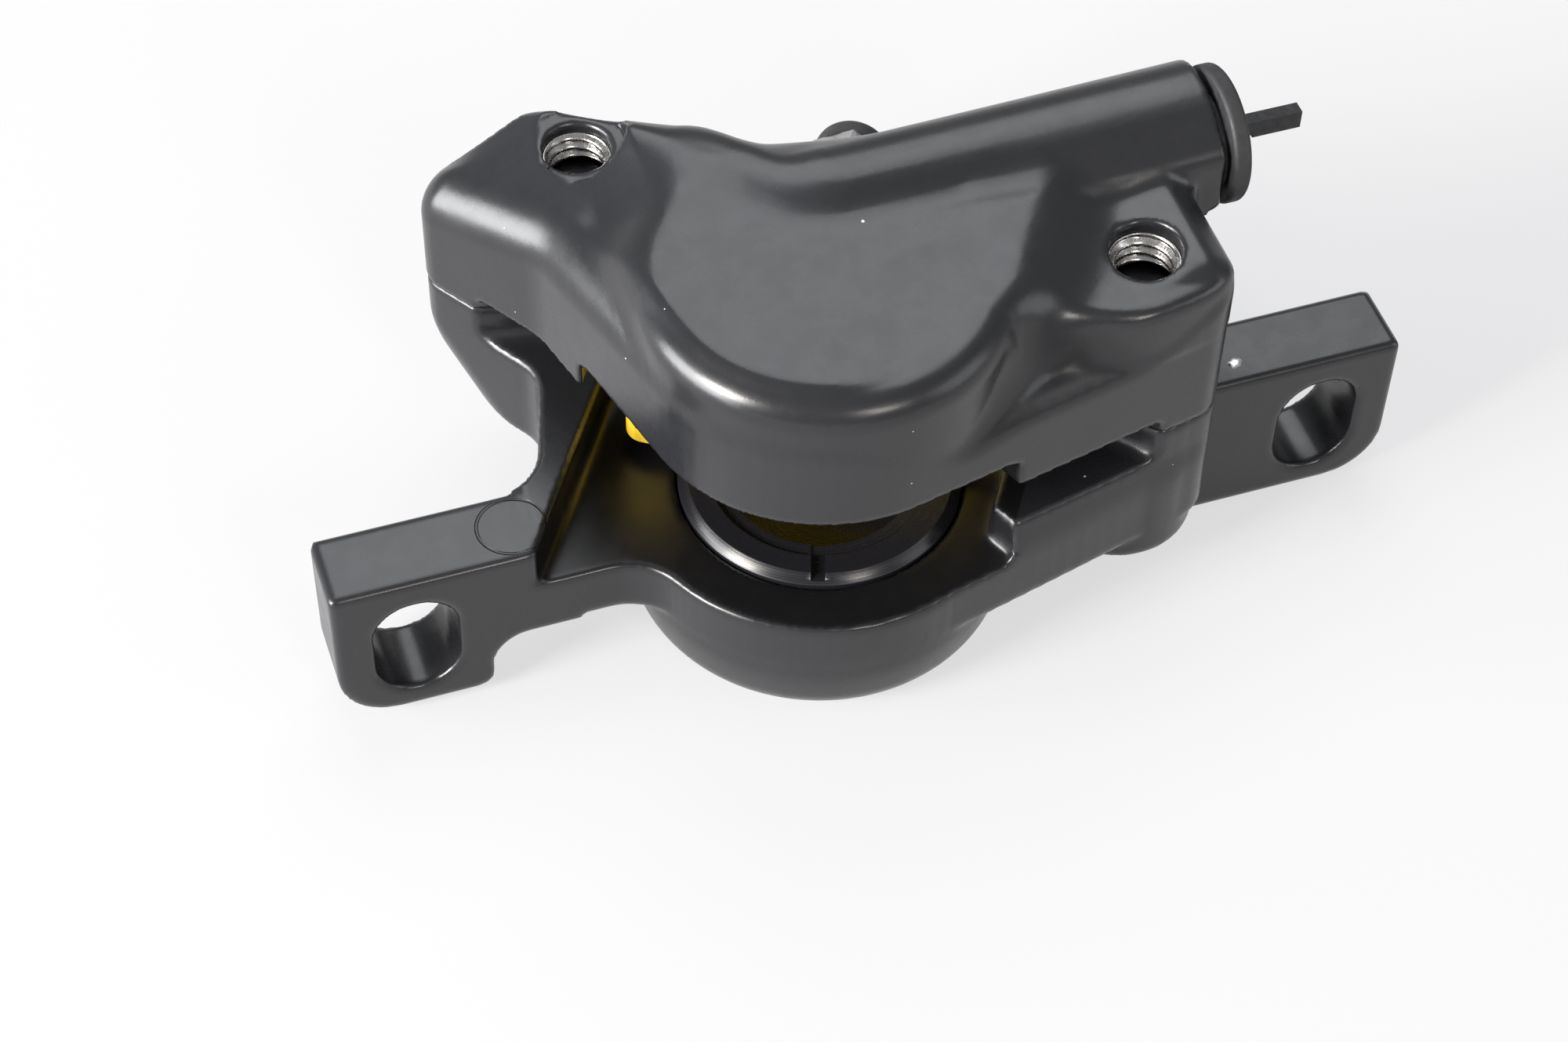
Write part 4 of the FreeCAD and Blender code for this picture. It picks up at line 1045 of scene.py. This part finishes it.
@dataclass
class MountCasting(Casting):
    """Lower casting with its mounting ears, flowing as a casting does, in place of its plain solid."""

    name: str = "mount_casting"
    node: str = "mount_half"
    low: Point = (-44.4, -12.7, -8.6)
    high: Point = (44.4, 32.0, 11.6)
    pitch: float = 0.36
    boss_radius: float = 15.2
    flanks_deg: Pair = (-62.0, 14.2)
    left: Tuple[Corner, ...] = ((-22.4, 17.4, 4.0), (-25.6, 6.4, 5.0), (-27.0, 6.4, 0.0))
    land_z: float = 7.6
    land_edge: float = 1.1
    floor_z: float = 3.8
    bore_end_z: float = -4.4
    arm_z: float = -1.6
    arm_edge: float = 1.2
    arm_end_x: float = -27.0
    arm_corner: float = 5.0
    boss_z: float = -7.7
    boss_top_z: float = 5.8
    boss_taper: Ease = Ease(1.6, 7.7, 0.7)
    boss_edge: float = 3.0
    upper_flank: Pair = (14.2, 12.1)
    flank_set_back: Ease = Ease(-7.6, -3.3, 1.0)
    wall_edge: float = 0.6
    taper_x: float = -25.0
    taper_deg: float = 61.0
    taper_front_y: float = 12.5
    taper_front_gain: float = 3.0
    taper_edge: float = 1.2
    column_z: float = -3.5
    column_radius: float = 6.3
    foot_edge: float = 0.8
    inward: Ease = Ease(0.3, 4.0)
    blend_least: float = 0.1
    boss_blend: float = 3.5
    column_blend: float = 2.2
    rib_blend: float = 1.2
    pin_blend: float = 1.0
    ear_blend: float = 0.7
    ear_thickness: float = 6.4
    ear_edge: float = 0.4
    left_ear: Tuple[Corner, ...] = (
        (-43.3, -6.9, 4.6), (-43.3, 7.6, 0.5), (-24.0, 7.6, 0.0), (-24.0, -1.6, 0.0),
        (-31.2, -1.6, 3.0), (-31.2, -6.9, 1.4),
    )
    right_ear: Tuple[Corner, ...] = (
        (43.3, -6.9, 4.6), (43.3, 7.6, 0.5), (22.0, 7.6, 0.0), (22.0, -6.9, 1.4),
    )
    slot_x: float = 37.0
    slot_radius: float = 3.3
    slot_straight: float = 1.6
    slot_y: float = 3.2
    slot_half_depth: float = 4.5
    rib_start: Point = (25.5, 12.4, -3.2)
    rib_way: Point = (-0.9605, -0.2782, 0.0)
    rib_rod: Point = (2.9, 0.0, 22.0)
    drilling_rod: Point = (1.34, -2.0, 3.0)
    bolt_radius: float = 3.1
    bolt_head_radius: float = 5.25
    bolt_head_z: float = 1.0
    pin_at: Pair = (10.272, 15.566)
    pin_radius: float = 1.98
    pin_head_radius: float = 3.1
    pin_head_z: float = 0.6
    pin_boss_radius: float = 4.9
    pin_boss_z: float = -2.95

    def plan_corners(self) -> List[Corner]:
        """Give the plan outline's corners, from the arm round the boss, column and back."""
        first, way = self.flank(self.boss_radius, self.flanks_deg[0])
        arm = first + way * (-first[1] / way[1])
        return [(self.arm_end_x, 0.0, 0.0), (float(arm[0]), 0.0, self.arm_corner)] + super().plan_corners()

    def ear(self, x: Grid, y: Grid, z: Grid, corners: Sequence[Corner]) -> Grid:
        """Give the distance to one ear plate from its front profile."""
        profile = outline_distance(rounded_outline(corners), x[:, 0, :], z[:, 0, :])[:, None, :]
        return round_meet(profile, np.maximum(-y, y - self.ear_thickness), self.ear_edge)

    def post(self, x: Grid, y: Grid, z: Grid, centre: Pair, radius: float, low: float, high: float) -> Grid:
        """Give the distance to an upright cylinder whose edges are rounded."""
        out = np.hypot(x - centre[0], y - centre[1]) - radius
        return round_meet(out, np.maximum(low - z, z - high), self.foot_edge)

    def outside(self, x: Grid, y: Grid, z: Grid) -> Grid:
        """Give the distance to the casting's outer form.

        Args:
            x: First coordinates.
            y: Second coordinates.
            z: Third coordinates.

        Returns:
            The distances.
        """
        plan = self.plan_distance(self.plan_corners(), x, y, self.plan_steps)
        point, way = self.flank(*self.upper_flank)
        lean = (x - point[0]) * way[1] - (y - point[1]) * way[0] - self.flank_set_back(-z)
        body = round_meet(round_meet(plan, lean, self.wall_edge), self.arm_z - z, self.arm_edge)
        rise = math.radians(self.taper_deg)
        slope = (self.taper_x - x) * math.sin(rise) - (z - self.arm_z) * math.cos(rise)
        slope = slope - self.taper_front_gain * np.maximum(self.taper_front_y - y, 0)
        body = round_meet(body, slope, self.taper_edge)
        boss = np.hypot(x - AXIS[0], y - AXIS[1]) - self.boss_radius + self.boss_taper(-z)
        boss = round_meet(boss, np.maximum(self.boss_z - z, z - self.boss_top_z), self.boss_edge)
        inward = self.inward(-plan)
        form = round_join(body, boss, self.blend_least + self.boss_blend * inward)
        for centre in BOLTS:
            foot = self.post(x, y, z, centre, self.column_radius, self.column_z, self.parting_z)
            foot = round_meet(foot, lean, self.wall_edge)
            form = round_join(form, foot, self.blend_least + self.column_blend * inward)
        rib = self.rod(x, y, z, self.rib_start, self.rib_way, *self.rib_rod)
        form = round_join(form, rib, self.blend_least + self.rib_blend * inward)
        pin = self.post(x, y, z, self.pin_at, self.pin_boss_radius, self.pin_boss_z, self.floor_z)
        form = round_join(form, pin, self.blend_least + self.pin_blend * inward)
        form = np.minimum(form, self.ear(x, y, z, self.left_ear))
        form = round_join(form, self.ear(x, y, z, self.right_ear), self.ear_blend)
        return round_meet(form, z - self.parting_z, self.seam_edge)

    def cuts(self, x: Grid, y: Grid, z: Grid) -> List[Grid]:
        """Give the distances to everything that was cut out of the casting.

        Args:
            x: First coordinates.
            y: Second coordinates.
            z: Third coordinates.

        Returns:
            The distances to each cut.
        """
        found = [
            round_meet(self.rotor(x, y), self.land_z - z, self.land_edge),
            self.pad_pocket(x, y, self.floor_z - z),
            np.maximum(self.bore(x, y), self.bore_end_z - z),
        ]
        for side in (-1, 1):
            reach = np.hypot(x - side * self.slot_x, np.maximum(np.abs(z) - self.slot_straight, 0))
            through = np.abs(y - self.slot_y) - self.slot_half_depth
            found.append(np.maximum(reach - self.slot_radius, through))
        for bx, by in BOLTS:
            out = np.hypot(x - bx, y - by)
            found.append(np.maximum(out - self.bolt_head_radius, z - self.bolt_head_z))
            found.append(out - self.bolt_radius + 0 * z)
        out = np.hypot(x - self.pin_at[0], y - self.pin_at[1])
        found.append(np.maximum(out - self.pin_head_radius, z - self.pin_head_z))
        found.append(out - self.pin_radius + 0 * z)
        found.append(self.rod(x, y, z, self.rib_start, self.rib_way, *self.drilling_rod))
        return found


@dataclass
class ThreadedHole:
    """Bright cut thread of a body bolt's hole, above the bolt's end."""

    name: str
    centre: Pair
    mouth_z: float
    root: float
    foot_z: float = 21.35
    depth: float = 0.42
    pitch: float = 0.9
    crest_share: float = 0.12
    flank_share: float = 0.76
    lead_height: float = 0.35
    lead_gap: float = 0.05
    wall: float = 0.12
    sides: int = 96
    step: float = 0.0625

    def radius(self, height: float, angle: float) -> float:
        """Give the wall's radius at a place.

        Args:
            height: Height in millimetres.
            angle: Angle about the hole in radians.

        Returns:
            The radius in millimetres.
        """
        phase = (height / self.pitch - angle / (2 * math.pi)) % 1.0
        rise = min(max(abs(phase - 0.5) * 2 - self.crest_share, 0.0) / self.flank_share, 1.0)
        wall = self.root - self.depth * (1 - rise)
        lead = max(0.0, 1 - (self.mouth_z - height) / self.lead_height)
        return wall + (self.root + self.lead_gap - wall) * lead

    def build(self, finish: bpy.types.Material) -> bpy.types.Object:
        """Make the thread's wall as a sleeve.

        Args:
            finish: The thread's material.

        Returns:
            The new piece.
        """
        levels = int(round((self.mouth_z - self.foot_z) / self.step))
        points: List[Point] = []
        faces: List[Face] = []
        for level in range(levels + 1):
            height = self.foot_z + (self.mouth_z - self.foot_z) * level / levels
            for side in range(self.sides):
                angle = 2 * math.pi * side / self.sides
                wall = self.radius(height, angle)
                points.append((
                    (self.centre[0] + wall * math.cos(angle)) * MM,
                    (self.centre[1] + wall * math.sin(angle)) * MM,
                    height * MM,
                ))
        for level in range(levels):
            for side in range(self.sides):
                after = (side + 1) % self.sides
                low, high = level * self.sides, (level + 1) * self.sides
                faces.append((low + after, low + side, high + side, high + after))
        piece = new_piece(self.name, points, faces)
        sleeve = piece.modifiers.new("wall", "SOLIDIFY")
        sleeve.thickness = self.wall * MM
        sleeve.offset = 1.0
        dress(piece, finish)
        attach(piece, Body.CALIPER.value)
        return piece


@dataclass
class PaintChip:
    """Small spot of bare metal where the coating was knocked off an edge."""

    name: str = "paint_chip"
    centre: Point = (29.86, 2.04, 7.6)
    radius: float = 0.6
    height: float = 0.1
    rings: Tuple[Pair, ...] = ((0.45, 0.85), (0.8, 0.45), (1.0, -0.3))
    sides: int = 24

    def place(self, reach: float, angle: float, rise: float) -> Point:
        """Give a point in metres, from its reach, angle and share of the height."""
        x, y, z = self.centre
        return (
            (x + reach * math.cos(angle)) * MM,
            (y + reach * math.sin(angle)) * MM,
            (z + self.height * rise) * MM,
        )

    def build(self, finish: bpy.types.Material) -> bpy.types.Object:
        """Make the chip as a low uneven dome.

        Args:
            finish: The bare metal's material.

        Returns:
            The new piece.
        """
        points: List[Point] = [self.place(0.0, 0.0, 1.0)]
        faces: List[Face] = []
        for share, rise in self.rings:
            for side in range(self.sides):
                angle = 2 * math.pi * side / self.sides
                uneven = 1 + 0.16 * math.sin(2 * angle + 0.6) + 0.08 * math.sin(5 * angle)
                points.append(self.place(self.radius * share * uneven, angle, rise))
        for side in range(self.sides):
            after = (side + 1) % self.sides
            faces.append((0, 1 + side, 1 + after))
            for ring in range(len(self.rings) - 1):
                low, high = 1 + ring * self.sides, 1 + (ring + 1) * self.sides
                faces.append((low + side, high + side, high + after, low + after))
        piece = new_piece(self.name, points, faces)
        dress(piece, finish)
        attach(piece, Body.CALIPER.value)
        return piece


@dataclass
class CarriedNodes:
    """Nodes of the frame that show as they are, with softened edges and their own finishes."""

    nodes: Dict[str, bpy.types.Object]
    edge: Dict[str, float] = field(default_factory=lambda: {
        "hose_port_plug": 0.12, "pad_spacer": 0.15, "body_bolt_left": 0.1,
        "body_bolt_right": 0.1, "bleed_nipple": 0.08, "piston_mount_side": 0.08, "piston_outer_side": 0.08,
        "pad_pin": 0.08,
    })
    weld_reach: float = 0.002
    sharp_deg: float = 38.0

    def soften(self, name: str) -> None:
        """Join a node's split faces and round its sharp edges a little, with modifiers only."""
        node = self.nodes[name]
        weld = node.modifiers.new("weld", "WELD")
        weld.merge_threshold = self.weld_reach * MM
        bevel = node.modifiers.new("edge", "BEVEL")
        bevel.width = self.edge[name] * MM
        bevel.segments = 2
        bevel.limit_method = "ANGLE"
        bevel.angle_limit = math.radians(self.sharp_deg)
        bevel.harden_normals = False
        bevel.use_clamp_overlap = True

    def dress_all(self, finishes: Dict[str, bpy.types.Material], wear: Dict[str, str]) -> None:
        """Give every node its finish.

        Args:
            finishes: Materials by name.
            wear: The finish of each node.
        """
        for name, finish in wear.items():
            dress(self.nodes[name], finishes[finish])
            if name in self.edge:
                self.soften(name)
            LOG.info("node %s wears %s", name, finish)


@dataclass(frozen=True)
class Softbox:
    """Square soft light that looks at the part, its place and side in metres, its power in watts."""

    name: str
    at: Point
    size: float
    power: float
    colour: Colour

    def hang(self) -> None:
        """Hang the light."""
        data = bpy.data.lights.new(self.name, "AREA")
        data.shape = "SQUARE"
        data.size = self.size
        data.energy = self.power
        data.color = self.colour
        light = bpy.data.objects.new(self.name, data)
        bpy.context.scene.collection.objects.link(light)
        light.location = self.at
        light.rotation_mode = "QUATERNION"
        light.rotation_quaternion = (-Vector(self.at)).to_track_quat("-Z", "Y")


@dataclass
class Studio:
    """Plain pale floor, soft lights and the camera at the photograph's view."""

    floor_z: float = -7.72
    floor_half: float = 1.5
    floor_colour: Colour = (0.55, 0.55, 0.56)
    floor_seen: Colour = (0.90, 0.90, 0.91)
    floor_seen_share: float = 0.72
    even_colour: Colour = (0.97, 0.985, 1.0)
    even_strength: float = 0.38
    behind_colour: Colour = (0.92, 0.92, 0.93)
    camera_at: Point = (-64.395, -157.515, 205.101)
    azimuth_deg: float = -19.699
    elevation_deg: float = 50.193
    roll_deg: float = 1.59
    focal_px: float = 4367.44
    width_px: float = 2000.0
    sensor: float = 36.0
    clip: Pair = (0.01, 10.0)
    lights: Tuple[Softbox, ...] = (
        Softbox("left_box", (-0.80, -0.20, 0.44), 0.28, 15.0, (1.0, 0.94, 0.88)),
        Softbox("low_left_box", (-0.86, 0.0, 0.10), 0.7, 26.0, (0.97, 0.98, 1.0)),
        Softbox("front_box", (0.16, -0.78, 0.56), 0.20, 2.4, (1.0, 0.94, 0.87)),
        Softbox("right_box", (0.75, -0.45, 0.35), 0.5, 1.6, (0.97, 0.98, 1.0)),
        Softbox("top_box", (0.15, 0.55, 0.85), 0.7, 5.0, (0.94, 0.97, 1.0)),
    )

    def camera(self) -> None:
        """Place the camera."""
        turn, lift, roll = (math.radians(d) for d in (self.azimuth_deg, self.elevation_deg, self.roll_deg))
        back = Vector((math.sin(turn) * math.cos(lift), -math.cos(turn) * math.cos(lift), math.sin(lift)))
        right = Vector((math.cos(turn), math.sin(turn), 0.0))
        up = back.cross(right)
        right, up = (
            right * math.cos(roll) + up * math.sin(roll),
            up * math.cos(roll) - right * math.sin(roll),
        )
        data = bpy.data.cameras.new("camera")
        data.sensor_width = self.sensor
        data.lens = self.focal_px * self.sensor / self.width_px
        data.clip_start, data.clip_end = self.clip
        camera = bpy.data.objects.new("camera", data)
        bpy.context.scene.collection.objects.link(camera)
        frame = Matrix((right, up, back)).transposed().to_4x4()
        camera.matrix_world = Matrix.Translation(Vector(self.camera_at) * MM) @ frame
        bpy.context.scene.camera = camera

    def seen_white(self, tree: bpy.types.NodeTree) -> Socket:
        """Give a mask that is 1 for camera, glossy and transmitted rays.

        Args:
            tree: The node tree to add it to.

        Returns:
            The mask's socket.
        """
        path = tree.nodes.new("ShaderNodeLightPath")
        mask = path.outputs["Is Camera Ray"]
        for name in ("Is Glossy Ray", "Is Transmission Ray"):
            node = tree.nodes.new("ShaderNodeMath")
            node.operation = "MAXIMUM"
            tree.links.new(mask, node.inputs[0])
            tree.links.new(path.outputs[name], node.inputs[1])
            mask = node.outputs[0]
        return mask

    def blend(self, tree: bpy.types.NodeTree, share: Socket, first: Socket, second: Socket,
              output: Socket) -> None:
        """Mix two shaders and link the result to an output.

        Args:
            tree: The node tree to add the mix to.
            share: Share of the second shader.
            first: First shader.
            second: Second shader.
            output: The output's input socket.
        """
        both = tree.nodes.new("ShaderNodeMixShader")
        tree.links.new(share, both.inputs[0])
        tree.links.new(first, both.inputs[1])
        tree.links.new(second, both.inputs[2])
        tree.links.new(both.outputs[0], output)

    def floor(self) -> None:
        """Make the floor, whose pale colour stays near white while it keeps the shadow."""
        mesh = bpy.data.meshes.new("floor")
        size = self.floor_half
        corners = [(-size, -size), (size, -size), (size, size), (-size, size)]
        mesh.from_pydata([(x, y, self.floor_z * MM) for x, y in corners], [], [(0, 1, 2, 3)])
        floor = bpy.data.objects.new("floor", mesh)
        bpy.context.scene.collection.objects.link(floor)
        material = bpy.data.materials.new("floor")
        material.use_nodes = True
        tree = material.node_tree
        tree.nodes.clear()
        output = tree.nodes.new("ShaderNodeOutputMaterial")
        lit = tree.nodes.new("ShaderNodeBsdfDiffuse")
        lit.inputs["Color"].default_value = (*self.floor_colour, 1)
        glow = tree.nodes.new("ShaderNodeEmission")
        glow.inputs["Color"].default_value = (*self.floor_seen, 1)
        share = tree.nodes.new("ShaderNodeMath")
        share.operation = "MULTIPLY"
        share.inputs[1].default_value = self.floor_seen_share
        tree.links.new(self.seen_white(tree), share.inputs[0])
        self.blend(tree, share.outputs[0], lit.outputs[0], glow.outputs[0], output.inputs["Surface"])
        mesh.materials.append(material)

    def world(self) -> None:
        """Light everything evenly, and show near white behind the floor."""
        world = bpy.data.worlds.new("world")
        bpy.context.scene.world = world
        world.use_nodes = True
        tree = world.node_tree
        tree.nodes.clear()
        output = tree.nodes.new("ShaderNodeOutputWorld")
        even = tree.nodes.new("ShaderNodeBackground")
        even.inputs["Color"].default_value = (*self.even_colour, 1)
        even.inputs["Strength"].default_value = self.even_strength
        seen = tree.nodes.new("ShaderNodeBackground")
        seen.inputs["Color"].default_value = (*self.behind_colour, 1)
        seen.inputs["Strength"].default_value = 1.0
        share = tree.nodes.new("ShaderNodeLightPath").outputs["Is Camera Ray"]
        self.blend(tree, share, even.outputs[0], seen.outputs[0], output.inputs["Surface"])

    def build(self) -> None:
        """Set up the camera, floor, world and lights."""
        self.camera()
        self.floor()
        self.world()
        for light in self.lights:
            light.hang()


FINISHES = (
    CastPaint("cast_paint"),
    TurnedPhenolic("piston_phenolic"),
    Metal("cut_thread", (0.50, 0.49, 0.48), (0.16, 0.32), (0.06, 0.06, 0.06)),
    Metal("black_bolt", (0.05, 0.05, 0.055), (0.3, 0.42), (0.02, 0.02, 0.02)),
    Metal("bright_steel", (0.62, 0.61, 0.60)),
    Moulded("seal_rubber", (0.012, 0.012, 0.013), (0.02, 0.02, 0.02), (0.5, 0.65), dust=0.0),
    Moulded("plug_rubber", (0.010, 0.010, 0.012), (0.020, 0.020, 0.022), (0.55, 0.70), dust=0.16),
    Moulded("cap_rubber", (0.015, 0.015, 0.017), (0.03, 0.03, 0.032), (0.5, 0.65)),
    Moulded("spacer_plastic", (0.50, 0.34, 0.015), (0.42, 0.28, 0.012), (0.45, 0.55), dust=0.0),
)

WEAR: Dict[str, str] = {
    "mount_half": "cast_paint",
    "outer_half": "cast_paint",
    "body_bolt_left": "black_bolt",
    "body_bolt_right": "black_bolt",
    "piston_mount_side": "piston_phenolic",
    "piston_outer_side": "piston_phenolic",
    "piston_seal_mount_side": "seal_rubber",
    "piston_seal_outer_side": "seal_rubber",
    "transfer_port_seal": "seal_rubber",
    "passage_ball": "bright_steel",
    "hose_port_plug": "plug_rubber",
    "bleed_nipple": "bright_steel",
    "bleed_nipple_cap": "cap_rubber",
    "pad_spacer": "spacer_plastic",
    "pad_pin": "bright_steel",
    "pad_pin_clip": "bright_steel",
}


def main() -> None:
    """Load the frame and build the caliper's looks around it."""
    logging.basicConfig(level=logging.INFO, format="%(name)s: %(message)s")
    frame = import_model()
    bpy.context.scene.view_settings.view_transform = "Standard"
    finishes = {finish.name: finish.material() for finish in FINISHES}
    CarriedNodes(frame["nodes"]).dress_all(finishes, WEAR)
    pieces = [
        OuterCasting().build(finishes["cast_paint"]),
        MountCasting().build(finishes["cast_paint"]),
        ThreadedHole("left_thread", BOLTS[0], mouth_z=23.4, root=2.55).build(finishes["cut_thread"]),
        ThreadedHole("right_thread", BOLTS[1], mouth_z=23.9, root=2.7).build(finishes["cut_thread"]),
        PaintChip().build(finishes["bright_steel"]),
    ]
    for piece in pieces:
        LOG.info("piece %s has %d faces", piece.name, len(piece.data.polygons))
    Studio().build()


if __name__ == "__main__":
    main()
